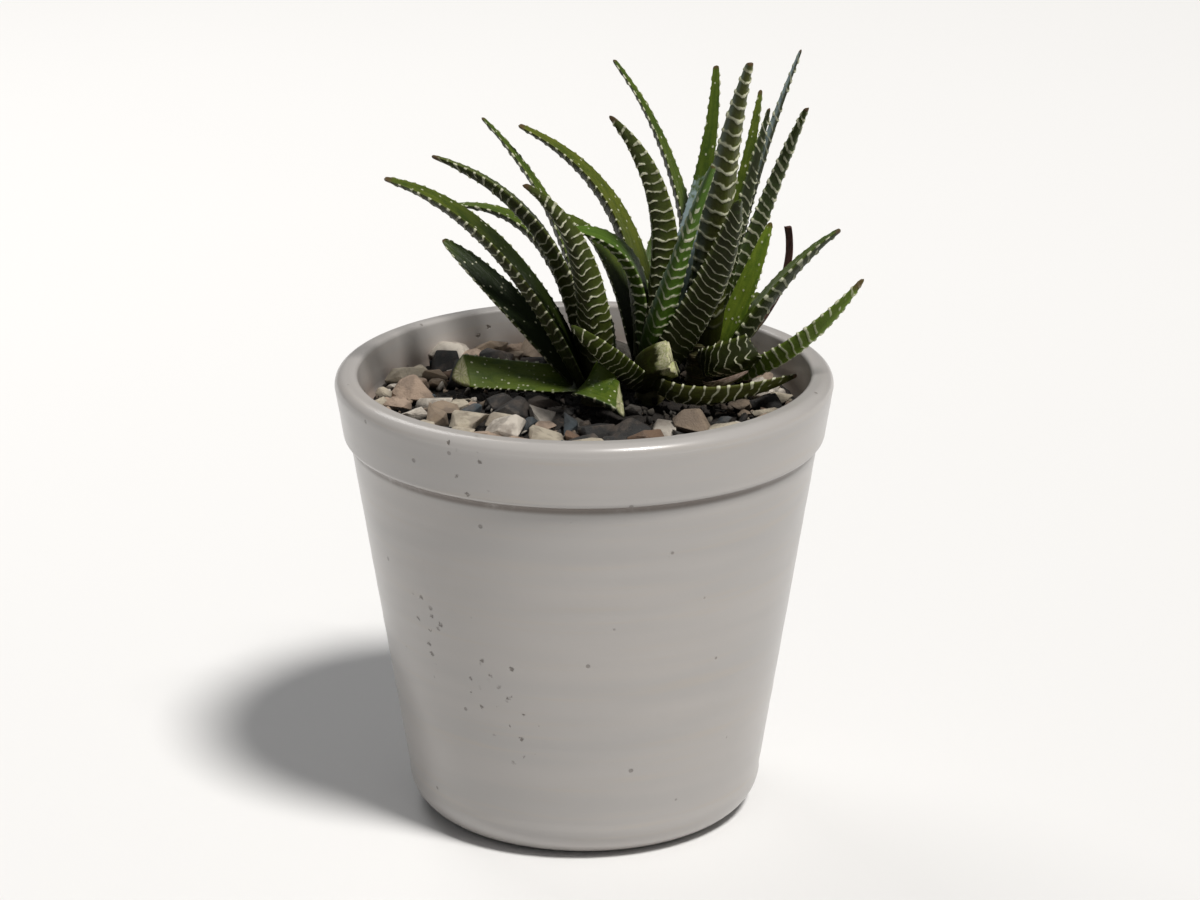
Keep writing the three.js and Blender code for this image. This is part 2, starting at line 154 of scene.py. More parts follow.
# One row for each leaf: its stem, where it starts round that stem and over the datum level, its
# middle, its tip, its greatest width, its twist, its taper, its end and its skin.
LEAF_FIELDS = (
    "name", "stem", "azimuth", "rise", "middle", "tip", "width", "twist", "taper", "end", "skin",
)
LEAVES = [dict(zip(LEAF_FIELDS, row)) for row in (
    ("left_leaf_front", "left", 260, 4, (-1, -8, 140), (-14, -19, 161), 9, 0, "slender", "whole",
     "bronze"),
    ("middle_leaf_short", "middle", 235, 1, (5, -10, 117), (-3, -16, 126), 8.5, 0, "blunt", "whole",
     "deep"),
    ("left_leaf_long", "left", 185, 2, (-20.5, -2, 140.8), (-47, -6, 159), 9, -14, "full",
     "whole", "bronze"),
    ("middle_leaf_low", "middle", 260, 5, (28, -9, 106), (51, -4, 110), 7, 0, "full", "whole", "olive"),
    ("left_stub_side", "left", 185, 3, (-17, 7, 105.5), (-32.5, 8, 107), 9, -45, "cut", "cut", "fresh"),
    ("left_stub_front", "left", 260, 5, (3, -8, 108), (11, -13, 104.5), 10, 64, "cut", "cut", "fresh"),
    ("middle_stub_torn", "middle", 260, 2, (16, -1, 110), (22, -5, 114), 10, -30, "cut", "torn", "plain"),
    ("left_leaf_broad", "left", 155, 1, (-18, 14, 122), (-34.5, 20, 137), 8.5, -20, "blunt", "whole",
     "gloom"),
    ("left_leaf_arched", "left", 195, 6, (-10, 3, 143), (-36, 0, 163), 8, -4, "full", "whole", "bronze"),
    ("left_leaf_bent", "left", 160, 3, (-10, 11, 138), (-33, 18, 146), 6.8, 0, "full", "whole", "green"),
    ("left_leaf_tall", "left", 125, 6, (-6, 20, 139), (-25, 30, 165), 7.2, 24, "spindle", "whole",
     "speckled"),
    ("left_leaf_rear_1", "left", 100, 2, (3, 24, 114), (1, 38, 117), 9, 0, "full", "whole", "green"),
    ("left_leaf_rear_2", "left", 135, 2, (-8, 20, 111), (-15, 35, 116), 9, 0, "full", "whole", "deep"),
    ("left_leaf_rear_3", "left", 95, 5, (0, 20, 120), (-1, 34, 129), 8, 0, "full", "whole", "green"),

    ("middle_leaf_beaded", "middle", 240, 6, (23, -10, 142), (30, -21, 166), 7.8, 0, "needle",
     "whole", "beaded"),
    ("middle_leaf_inner", "middle", 215, 8, (18, 1, 147), (6, -5, 174), 8.8, 0, "blunt", "whole", "bronze"),
    ("middle_leaf_side", "middle", 190, 4, (12, 6, 133), (-3, 0, 145), 7.6, -18, "blunt", "whole", "leafy"),
    ("middle_leaf_wide", "middle", 155, 8, (7.6, 20, 143.4), (-16, 26, 164), 9.6, 4, "slender",
     "whole", "wide"),
    ("middle_leaf_silver", "middle", 60, 9, (28.2, 18, 149), (32, 30, 178), 8.6, 0, "spindle", "whole",
     "silver"),
    ("middle_leaf_dark", "middle", 140, 3, (6, 28, 129), (-6, 36, 139), 7, 0, "full", "whole", "deep"),
    ("middle_leaf_pale", "middle", 110, 0, (15, 26, 121), (10, 36, 130), 6, 0, "full", "whole", "fresh"),
    ("middle_leaf_rear", "middle", 90, 5, (17, 22, 126), (19, 35, 138), 8, 0, "full", "whole", "green"),
    ("middle_leaf_front", "middle", 315, 4, (31, -6, 134), (36, -18, 157), 12, 0, "full", "whole", "deep"),

    ("right_leaf_long", "right", 290, 9, (33, 1, 154), (39, -6, 187), 10.4, 0, "slender", "whole", "banded"),
    ("right_stub_broken", "right", 300, 4, (33, -1, 112), (42, -3, 116), 9, -50, "cut", "broken", "deep"),
    ("right_leaf_low", "right", 330, 1, (49, -7, 117), (66, -11, 136), 6.8, -30, "full", "whole", "dotted"),
    ("right_bract", "right", 290, 0, (32, -3, 107), (39, -9, 112.5), 3.4, -30, "full", "dry", "paper"),
    ("right_leaf_spread", "right", 0, 1, (46, 4, 129.5), (61, 0, 145), 9.8, 0, "slender", "whole", "bold"),
    ("right_leaf_plain", "right", 0, 3, (39.4, 10.8, 127.6), (45, 12, 143.6), 6.2, 60, "full", "whole",
     "lemon"),
    ("right_leaf_slim", "right", 325, 13, (38, 8, 147), (44, 7, 173), 7, 0, "slender", "whole", "green"),
    ("right_leaf_lean", "right", 5, 7, (44, 17.5, 145.6), (53, 7, 173), 7.4, -42, "slender", "whole",
     "mild"),
    ("right_leaf_outer", "right", 25, 11, (41, 21, 151), (52, 21, 184), 6, -35, "slender", "whole",
     "dusky"),
    ("right_leaf_upright", "right", 70, 11, (38, 23, 147), (43, 34, 171), 5.4, 0, "slender", "whole",
     "lime"),
    ("right_leaf_top", "right", 150, 8, (22.5, 24, 149), (7, 36, 178), 8, 6, "needle", "whole",
     "speckled"),
    ("right_leaf_dried", "right", 40, 1, (47, 21.5, 122), (49.7, 24, 140), 2.4, 0, "cut", "snapped",
     "russet"),
    ("right_leaf_rear_1", "right", 130, 1, (19, 28, 119), (12, 38, 125), 9, 0, "full", "whole", "green"),
    ("right_leaf_rear_2", "right", 95, 3, (29, 29, 120), (29, 41, 127), 9, 0, "full", "whole", "green"),
    ("right_leaf_rear_3", "right", 60, 1, (38, 26, 116), (44, 34, 119), 8, 0, "full", "whole", "deep"),
    ("right_leaf_rear_4", "right", 80, 8, (32, 25, 130), (34, 38, 142), 8, 0, "full", "whole", "green"),
)]

# What sets a leaf's skin apart. fresh and olive turn its colours, and dark lowers them. Below 0,
# dark lifts them and turns the back towards the green of the upper face. tip is how far a brown
# tip reaches, in mm. silver is the painted sheen, a bluish reflection along one flank, and at 1
# it covers the lower half all round. beads is how far the bands break up into beads, pitch their
# spacing in mm and thick their width, and below 0 they are gone. sweep is how far they climb from
# the keel to the edges, in spacings. shade is the share of the upper face, from the root on, that
# is deep green as painted shade, and flecks is how many pale dots that face has.
SKIN_FIELDS = (
    "fresh", "olive", "dark", "tip", "silver", "beads", "pitch", "thick", "sweep", "shade", "flecks",
)
SKINS = {name: dict(zip(SKIN_FIELDS, row)) for name, row in {
    "green": (0.3, 0.2, 0.1, 0.5, 0.1, 0.8, 2.6, 0.9, 0.5, 0.25, 0.6),
    "deep": (0.2, 0.4, 0.4, 0.0, 0.0, 0.2, 2.4, 0.75, 0.9, 0.72, 0.3),
    "olive": (0.0, 0.9, -0.1, 1.2, 0.0, 0.85, 2.7, 0.9, 0.5, 0.3, 0.5),
    "bronze": (0.1, 0.4, 0.1, 1.6, 0.1, 0.6, 2.5, 0.9, 0.5, 0.85, 0.3),
    "fresh": (0.3, 0.3, 0.0, 0.0, 0.2, 0.5, 2.4, 0.9, 0.6, 0.2, 0.8),
    "plain": (0.0, 0.9, 0.35, 0.0, 0.0, 1.0, 3.6, -1.0, 0.6, 0.4, 0.2),
    "lime": (0.4, 0.9, 0.0, 1.2, 0.0, 0.8, 2.6, 1.0, 0.4, 0.1, 1.0),
    "bold": (0.4, 0.4, -0.2, 1.2, 0.0, 0.7, 2.9, 1.3, 0.4, 0.25, 0.6),
    "lemon": (0.6, 1.0, -1.3, 1.0, 0.0, 0.8, 2.2, 1.0, 0.3, 0.05, 1.0),
    "leafy": (0.7, 0.1, 0.0, 1.0, 0.0, 0.4, 2.6, 1.3, 0.4, 0.1, 0.9),
    "gloom": (0.3, 0.1, 0.4, 0.6, 0.2, 0.5, 2.4, 1.2, 0.9, 1.1, 0.6),
    "speckled": (0.3, 0.3, 0.1, 0.8, 0.1, 0.7, 2.5, 1.3, 0.4, 0.35, 1.0),
    "wide": (0.1, 0.9, -0.2, 1.5, 0.0, 0.5, 2.5, 0.8, 0.5, 0.48, 0.7),
    "beaded": (1.0, 0.1, -0.9, 0.5, 0.4, 1.0, 3.0, 1.5, 0.3, 0.2, 0.9),
    "dotted": (0.8, 0.9, -1.0, 2.8, 0.0, 0.7, 2.5, 1.2, 0.3, 0.1, 1.0),
    "banded": (0.1, 1.0, -0.3, 0.6, 0.3, 0.0, 3.4, 1.4, 0.1, 0.3, 0.3),
    "mild": (0.4, 0.2, -0.2, 0.8, 0.1, 0.75, 2.7, 1.3, 0.4, 0.3, 0.4),
    "dusky": (0.3, 0.3, 0.1, 0.8, 0.6, 0.75, 2.6, 1.0, 0.4, 0.3, 0.4),
    "silver": (0.3, 0.2, 0.1, 0.8, 1.0, 0.6, 2.4, 1.1, 0.4, 0.3, 0.4),
}.items()}

# The skins of dried leaves, which have no bands.
DRY_SKINS = ("paper", "russet")

# How a leaf ends: cut is 1 where the end is a flat cut and not a rounded tip, skew is how far
# the cut slants over the width and bevel over the thickness, both in half widths, and ragged is
# how far the edge of the end wanders, in mm.
ENDS = {
    "whole": {"cut": 0.0, "skew": 0.0, "bevel": 0.0, "ragged": 0.0},
    "cut": {"cut": 1.0, "skew": -0.3, "bevel": 0.8, "ragged": 0.3},
    "torn": {"cut": 1.0, "skew": -0.2, "bevel": 0.3, "ragged": 3.2},
    "broken": {"cut": 1.0, "skew": 0.1, "bevel": 0.2, "ragged": 1.4},
    "snapped": {"cut": 1.0, "skew": 0.1, "bevel": 0.0, "ragged": 0.3},
    "dry": {"cut": 0.0, "skew": 0.0, "bevel": 0.0, "ragged": 0.8},
}

# The tints of the stones, each a place on the stones' colour ramp, and the list that chance picks
# from, which holds the commoner ones twice.
CREAM, WHITE, PINK, TAN, RUST, SLATE, BLUE = (0.05, 0.2, 0.35, 0.5, 0.65, 0.8, 0.95)
TINTS = (CREAM, CREAM, WHITE, WHITE, PINK, PINK, TAN, TAN, RUST, SLATE, SLATE, BLUE)

# The stones that show most, at the front and the sides: their place, half size and tint.
SHOWN_STONES = (
    (-44.5, 18, 6.0, CREAM), (-37, 20, 4.6, TAN), (-42, 5, 7.6, PINK), (-45, -4, 4.2, PINK),
    (-41, -10, 5.6, WHITE), (-33.5, -9, 5.4, TAN), (-27.5, -7, 4.8, BLUE), (-27, -18, 7.0, CREAM),
    (-18, -24, 7.0, WHITE), (-8.5, -29, 6.4, CREAM), (-36.5, -0.5, 5.4, WHITE), (-35, 29, 6.4, SLATE),
    (-29, 19, 6.8, SLATE), (-22, 31, 6.4, SLATE), (-34, 38, 6.4, WHITE), (-24, 41, 6.0, TAN),
    (-20, -2.5, 5.0, SLATE), (-17, -10, 7.0, SLATE), (-4, -20, 5.2, BLUE), (0.5, -33, 5.6, SLATE),
    (3, -23, 6.0, SLATE), (7, -38, 5.4, PINK), (15, -31, 6.0, RUST), (24, -27, 5.4, SLATE),
    (33, -25, 6.4, CREAM), (41, -18, 5.6, PINK), (43.5, -8, 5.0, CREAM), (43, 8, 5.4, WHITE),
    (-12, 26, 6.0, SLATE), (33, -36, 5.0, TAN), (20, -41, 5.0, WHITE), (-9, -41, 5.4, PINK),
    (-30, -31, 5.0, TAN), (-38, -24, 4.6, CREAM), (-20, -37, 5.4, PINK),
)

# The rule of the stones that chance lays between those, from the largest to the smallest.
STONE_RULE = {
    "smallest": 2.2,  # half size
    "largest": 7.2,
    "closeness": 0.6,  # least distance between two stones, of the sum of their half sizes
    "flatness": 0.66,  # height, of the width
    "proud": 0.3,  # of the half height, over the bed
    "tilt": 0.35,  # largest tilt, in radians
    "shapes": 9,
    "corners": 11,
    "tries": 7000,
    "seed": 41,
    "shape_seed": 5,
}

# The small grains between the stones.
GRIT = {
    "smallest": 0.5,  # half size
    "largest": 1.7,
    "margin": 0.6,  # to the pot's wall
    "sunk": 0.4,  # under the top of the bed
    "heap": 0.7,  # how high they heap up by chance
    "shapes": 4,
    "corners": 10,
    "shape_seed": 6,
}

# The wear of a stone of half size 1.
WEAR = {"bevel": 0.055, "cuts": 1, "bump_size": 2.2, "bump_depth": 0.07}

# The painted shade on the gravel round the plant: an oval that is wider across than deep.
PLANT_SHADE = {"x": 9, "y": -2, "squeeze": 0.72, "inner": 15, "outer": 27, "wander": 12.0}

# Colours of stains and small marks, and of painted shade and sheen, beside the ones that a user would
# change.
COLOURS = {
    "water_stain": (0.34, 0.19, 0.105),
    "bare_clay": (0.45, 0.36, 0.28),
    "pit": (0.10, 0.085, 0.07),
    "bark": (0.15, 0.10, 0.06),
    "stone_vein": (0.08, 0.055, 0.04),
    "stone_wash": (0.16, 0.125, 0.10),
    "stone_crystal": (0.60, 0.56, 0.48),
    "stone_speck": (0.05, 0.038, 0.03),
    # painted shade on the stones
    "shaded_stone": (0.014, 0.0115, 0.0095),
    "stem_green": (0.035, 0.042, 0.012),
    "stem_brown": (0.10, 0.085, 0.03),
    "stem_scar": (0.13, 0.085, 0.045),
    # painted sheen, a bluish reflection on the leaves
    "painted_sheen": (0.24, 0.31, 0.33),
    "brown_tip": (0.085, 0.045, 0.022),
    "pale_pith": (0.62, 0.59, 0.40),
    "green_pith": (0.36, 0.38, 0.17),
    "dark_paper": (0.17, 0.10, 0.075),
    "pale_paper": (0.50, 0.40, 0.33),
    "dark_russet": (0.022, 0.008, 0.006),
    "bright_russet": (0.11, 0.03, 0.018),
    "russet_foot": (0.05, 0.08, 0.015),
}

# ---------------------------------------------------------------- settings a user would change


class PotSettings(PropertyGroup):
    """The glazed pot."""

    glaze: FloatVectorProperty(
        name="Glaze", description="Colour of the glaze", subtype="COLOR",
        default=(0.42, 0.398, 0.380), min=0, max=1)
    # grime under the band, together with the painted shade under its lip
    dirt_and_shade: FloatVectorProperty(
        name="Dirt", description="Colour of the dirt under the band", subtype="COLOR",
        default=(0.10, 0.075, 0.058), min=0, max=1)
    ring_depth: FloatProperty(
        name="Ring depth", description="How far the throwing rings stand out",
        default=0.07 * MM, min=0, unit="LENGTH", precision=5)
    pits: FloatProperty(
        name="Pits", description="How many dark pits the glaze has", subtype="FACTOR",
        default=0.5, min=0, max=1)


class GravelSettings(PropertyGroup):
    """The top dressing of loose stones."""

    pale: FloatVectorProperty(
        name="Pale stones", description="Colour of the pale stones", subtype="COLOR",
        default=(0.52, 0.46, 0.36), min=0, max=1)
    slate: FloatVectorProperty(
        name="Dark stones", description="Colour of the slate chips", subtype="COLOR",
        default=(0.032, 0.032, 0.032), min=0, max=1)
    soil: FloatVectorProperty(
        name="Soil", description="Colour of the soil between the stones", subtype="COLOR",
        default=(0.012, 0.009, 0.007), min=0, max=1)
    grit: IntProperty(
        name="Grit", description="How many small grains lie between the stones",
        default=700, min=0)


class LeafSettings(PropertyGroup):
    """The ridged leaves."""

    back: FloatVectorProperty(
        name="Back", description="Colour of a leaf's back", subtype="COLOR",
        default=(0.025, 0.032, 0.005), min=0, max=1)
    face: FloatVectorProperty(
        name="Upper face", description="Colour of a leaf's upper face", subtype="COLOR",
        default=(0.064, 0.092, 0.009), min=0, max=1)
    band: FloatVectorProperty(
        name="Bands", description="Colour of the raised bands and beads", subtype="COLOR",
        default=(0.62, 0.62, 0.46), min=0, max=1)
    crowding: FloatProperty(
        name="Crowding", description="How close the bands lie, against their usual spacing",
        default=1.0, min=0.3, max=3, subtype="FACTOR")
    height: FloatProperty(
        name="Band height", description="How far a band stands out of the back",
        default=0.3 * MM, min=0, unit="LENGTH", precision=5)
    ring_step: FloatProperty(
        name="Ring step", description="Length of one step of the mesh along a leaf",
        default=0.27 * MM, min=0.1 * MM, unit="LENGTH", precision=5)
    around: IntProperty(
        name="Points around", description="Points of the mesh round a leaf",
        default=46, min=12)


class StageSettings(PropertyGroup):
    """The floor and the light."""

    floor: FloatVectorProperty(
        name="Floor", description="Colour of the floor", subtype="COLOR",
        default=(0.8, 0.8, 0.8), min=0, max=1)
    key: FloatProperty(
        name="Key light", description="Strength of the main light", default=3.4, min=0)
    softness: FloatProperty(
        name="Softness", description="How wide the main light is, as an angle in degrees",
        default=12.0, min=0, max=60)
    rim: FloatProperty(
        name="Rim light", description="Power of the panel at the back left", unit="POWER",
        default=3.0, min=0)
    sky: FloatProperty(
        name="Sky", description="Strength of the even light from all round", default=0.14, min=0)


# ---------------------------------------------------------------- node trees as expressions


class Value:
    """An output of a node tree. Python's operators on it add the nodes that work them out."""

    def __init__(self, graph, socket):
        self.graph = graph
        self.socket = socket

    def __add__(self, other):
        return self.graph.calculate("ADD", self, other)

    def __radd__(self, other):
        return self.graph.calculate("ADD", other, self)

    def __sub__(self, other):
        return self.graph.calculate("SUBTRACT", self, other)

    def __rsub__(self, other):
        return self.graph.calculate("SUBTRACT", other, self)

    def __mul__(self, other):
        return self.graph.calculate("MULTIPLY", self, other)

    def __rmul__(self, other):
        return self.graph.calculate("MULTIPLY", other, self)

    def __truediv__(self, other):
        return self.graph.calculate("DIVIDE", self, other)

    def __rtruediv__(self, other):
        return self.graph.calculate("DIVIDE", other, self)

    def __pow__(self, other):
        return self.graph.calculate("POWER", self, other)

    def part(self, name):
        """One of X, Y and Z of a vector."""
        return self.graph.add("ShaderNodeSeparateXYZ", inputs={"Vector": self}, output=name)


class Graph:
    """A node tree being written. Its methods place nodes and give back their outputs."""

    VECTORS = {"VECTOR", "RGBA"}

    def __init__(self, tree):
        self.tree = tree

    def add(self, kind, settings=None, inputs=None, output=0):
        """A node of a kind, with its settings made first and then its inputs linked or set."""
        node = self.tree.nodes.new(kind)
        for name, value in (settings or {}).items():
            if name == "stops":
                self.set_stops(node.color_ramp, value)
            else:
                setattr(node, name, value)
        for name, value in (inputs or {}).items():
            self.plug(self.find(node.inputs, name), value)
        return Value(self, self.find(node.outputs, output)) if node.outputs else None

    @staticmethod
    def find(sockets, name):
        """A socket by its place, its identifier or its name."""
        if isinstance(name, int):
            return sockets[name]
        for socket in sockets:
            if socket.identifier == name and socket.enabled:
                return socket
        return next(socket for socket in sockets if socket.name == name and socket.enabled)

    @staticmethod
    def set_stops(ramp, stops):
        """Gives a colour ramp its stops, each a place and a colour."""
        while len(ramp.elements) < len(stops):
            ramp.elements.new(1.0)
        for element, (place, colour) in zip(ramp.elements, stops):
            element.position = place
            element.color = (*colour, 1.0)

    def plug(self, socket, value):
        """Links a value to a socket, or sets the socket to it."""
        if isinstance(value, Value):
            self.tree.links.new(value.socket, socket)
        elif socket.type == "RGBA" and len(value) == 3:
            socket.default_value = (*value, 1.0)
        else:
            socket.default_value = value

    def is_vector(self, value):
        """Whether a value is a vector or a colour."""
        if isinstance(value, Value):
            return value.socket.type in self.VECTORS
        return isinstance(value, (tuple, Vector))

    def calculate(self, operation, first, second=None):
        """One Math node, or one Vector Math node where a vector takes part."""
        values = [first] if second is None else [first, second]
        if not any(self.is_vector(value) for value in values):
            inputs = dict(enumerate(values))
            return self.add("ShaderNodeMath", {"operation": operation}, inputs)
        if operation == "MULTIPLY" and not all(self.is_vector(value) for value in values):
            vector, scale = values if self.is_vector(first) else values[::-1]
            inputs = {"Vector": vector, "Scale": scale}
            return self.add("ShaderNodeVectorMath", {"operation": "SCALE"}, inputs)
        return self.add("ShaderNodeVectorMath", {"operation": operation}, dict(enumerate(values)))

    def dot(self, first, second):
        """The dot product of two vectors."""
        inputs = {0: first, 1: second}
        return self.add("ShaderNodeVectorMath", {"operation": "DOT_PRODUCT"}, inputs, "Value")

    def unit(self, vector):
        """A vector made one long."""
        return self.add("ShaderNodeVectorMath", {"operation": "NORMALIZE"}, {0: vector})

    def vector(self, x=0.0, y=0.0, z=0.0):
        """A vector from three values."""
        return self.add("ShaderNodeCombineXYZ", inputs={"X": x, "Y": y, "Z": z})

    def smooth(self, value, low, high):
        """A smooth step: 0 where the value is low and 1 where it is high."""
        inputs = {"Value": value, "From Min": low, "From Max": high}
        return self.add("ShaderNodeMapRange", {"interpolation_type": "SMOOTHSTEP"}, inputs)

    def ramp(self, value, low, high):
        """A straight step: 0 where the value is low and 1 where it is high."""
        inputs = {"Value": value, "From Min": low, "From Max": high}
        return self.add("ShaderNodeMapRange", {"clamp": True}, inputs)

    def noise(self, place, scale, detail=2.0, roughness=0.5, output="Fac"):
        """Smooth noise about 0.5 at a place."""
        inputs = {"Vector": place, "Scale": scale, "Detail": detail, "Roughness": roughness}
        return self.add("ShaderNodeTexNoise", inputs=inputs, output=output)

    def cells(self, place, scale, output="Distance"):
        """The distance to the nearest of many scattered points, or that point's colour."""
        inputs = {"Vector": place, "Scale": scale}
        return self.add("ShaderNodeTexVoronoi", {"feature": "F1"}, inputs, output)

    def mix(self, factor, first, second):
        """The first colour where the factor is 0 and the second where it is 1."""
        inputs = {"Factor_Float": factor, "A_Color": first, "B_Color": second}
        return self.add("ShaderNodeMix", {"data_type": "RGBA"}, inputs, "Result_Color")

    def blend(self, factor, first, second):
        """The first number where the factor is 0 and the second where it is 1."""
        inputs = {"Factor_Float": factor, "A_Float": first, "B_Float": second}
        return self.add("ShaderNodeMix", {"data_type": "FLOAT"}, inputs, "Result_Float")


class GeometryGraph(Graph):
    """A Geometry Nodes tree with named inputs, which ends in one geometry."""

    TYPES = {
        "vector": "NodeSocketVector", "number": "NodeSocketFloat", "count": "NodeSocketInt",
        "material": "NodeSocketMaterial", "collection": "NodeSocketCollection",
        "geometry": "NodeSocketGeometry",
    }

    def __init__(self, name, inputs):
        super().__init__(bpy.data.node_groups.new(name, "GeometryNodeTree"))
        interface = self.tree.interface
        interface.new_socket(name="Geometry", in_out="OUTPUT", socket_type=self.TYPES["geometry"])
        for label, kind in inputs.items():
            interface.new_socket(name=label, in_out="INPUT", socket_type=self.TYPES[kind])
        self.group = self.tree.nodes.new("NodeGroupInput")

    def given(self, name):
        """One of the tree's named inputs."""
        return Value(self, self.find(self.group.outputs, name))

    def field(self, name, kind="FLOAT"):
        """A named attribute of the geometry."""
        node = self.add("GeometryNodeInputNamedAttribute", {"data_type": kind}, {"Name": name})
        return Value(self, self.find(node.socket.node.outputs, "Attribute"))

    def store(self, geometry, name, value, kind="FLOAT"):
        """The geometry with a value kept on its points under a name."""
        inputs = {"Geometry": geometry, "Name": name, "Value": value}
        settings = {"data_type": kind, "domain": "POINT"}
        return self.add("GeometryNodeStoreNamedAttribute", settings, inputs)

    def end(self, geometry, material):
        """Ends the tree in real faces with their material."""
        real = self.add("GeometryNodeRealizeInstances", inputs={"Geometry": geometry})
        inputs = {"Geometry": real, "Material": material}
        done = self.add("GeometryNodeSetMaterial", inputs=inputs)
        output = self.tree.nodes.new("NodeGroupOutput")
        self.tree.links.new(done.socket, output.inputs["Geometry"])
        return self.tree


# ---------------------------------------------------------------- making and naming pieces


def new_object(name, mesh):
    """An object at the origin that shows a mesh."""
    piece = bpy.data.objects.new(name, mesh)
    bpy.context.scene.collection.objects.link(piece)
    return piece


def run_tree(piece, tree, inputs):
    """Runs a tree on an object and leaves the result as its plain mesh."""
    modifier = piece.modifiers.new("Rule", "NODES")
    modifier.node_group = tree
    for item in tree.interface.items_tree:
        if item.item_type == "SOCKET" and item.in_out == "INPUT" and item.name in inputs:
            modifier[item.identifier] = inputs[item.name]
    depsgraph = bpy.context.evaluated_depsgraph_get()
    evaluated = piece.evaluated_get(depsgraph)
    result = bpy.data.meshes.new_from_object(
        evaluated, preserve_all_data_layers=True, depsgraph=depsgraph)
    piece.modifiers.remove(modifier)
    plain = piece.data
    piece.data = result
    bpy.data.meshes.remove(plain)
    result.name = piece.name
    if not result.polygons:
        raise RuntimeError(f"{piece.name}: its tree made no faces")


def settle(piece, slot, *nodes):
    """Lets a finished piece ride on the body and stand for CAD nodes."""
    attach(piece, BODY)
    if nodes:
        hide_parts(*nodes)


def mesh_from(name, corners, faces):
    """A smooth mesh from corners in millimetres and faces."""
    mesh = bpy.data.meshes.new(name)
    mesh.from_pydata([tuple(axis * MM for axis in corner) for corner in corners], [], faces)
    mesh.shade_smooth()
    return mesh


def ring_faces(rings, segments):
    """The faces between rings of corners, closed by corner 0 below and corner 1 above."""
    faces = []
    last = 2 + (rings - 1) * segments
    for k in range(segments):
        after = (k + 1) % segments
        faces.append((0, 2 + after, 2 + k))
        faces.append((1, last + k, last + after))
        for ring in range(2, last, segments):
            faces.append((ring + k, ring + after, ring + segments + after, ring + segments + k))
    return faces


def turned(name, profile, segments, wander):
    """A profile of (radius, height) points that starts and ends on the axis, turned about Z."""
    inner = profile[1:-1]
    corners = [(0, 0, profile[0][1]), (0, 0, profile[-1][1])]
    for radius, height in inner:
        for k in range(segments):
            angle = 2 * math.pi * k / segments
            reach = radius + wander(radius, angle, height)
            corners.append((reach * math.cos(angle), reach * math.sin(angle), height))
    return mesh_from(name, corners, ring_faces(len(inner), segments))


def arc(radius, height, round_, start, stop, steps):
    """Points of a profile on an arc, from one angle to another."""
    points = []
    for i in range(steps + 1):
        angle = math.radians(start + (stop - start) * i / steps)
        points.append((radius + round_ * math.cos(angle), height + round_ * math.sin(angle)))
    return points


def line(start, stop, step):
    """Points of a profile on a straight line, without its two ends."""
    length = math.dist(start, stop)
    count = max(1, round(length / step))
    return [
        (start[0] + (stop[0] - start[0]) * i / count, start[1] + (stop[1] - start[1]) * i / count)
        for i in range(1, count)
    ]


# ---------------------------------------------------------------- materials


def shader_graph(name):
    """A new material and its empty graph."""
    material = bpy.data.materials.new(name)
    material.use_nodes = True
    material.node_tree.nodes.clear()
    return material, Graph(material.node_tree)


def surface(graph, inputs):
    """The material's shader, with its fixed sockets set on it and the rest linked."""
    shader = graph.add("ShaderNodeBsdfPrincipled", inputs=inputs)
    graph.add("ShaderNodeOutputMaterial", inputs={"Surface": shader})


def bump(graph, height):
    """A normal from a height in millimetres."""
    return graph.add("ShaderNodeBump", inputs={"Height": height, "Distance": MM, "Strength": 1.0})


def tinted(colour, tint):
    """A colour with each of its channels times one of the tint's."""
    return tuple(channel * part for channel, part in zip(colour, tint))


def kept_value(graph, name):
    """A number that the piece's mesh keeps on its points under a name."""
    return graph.add("ShaderNodeAttribute", {"attribute_name": name}, output="Fac")


def object_place(graph):
    """The place on the piece, in millimetres."""
    place = graph.add("ShaderNodeTexCoord", output="Object")
    return place * (1 / MM)


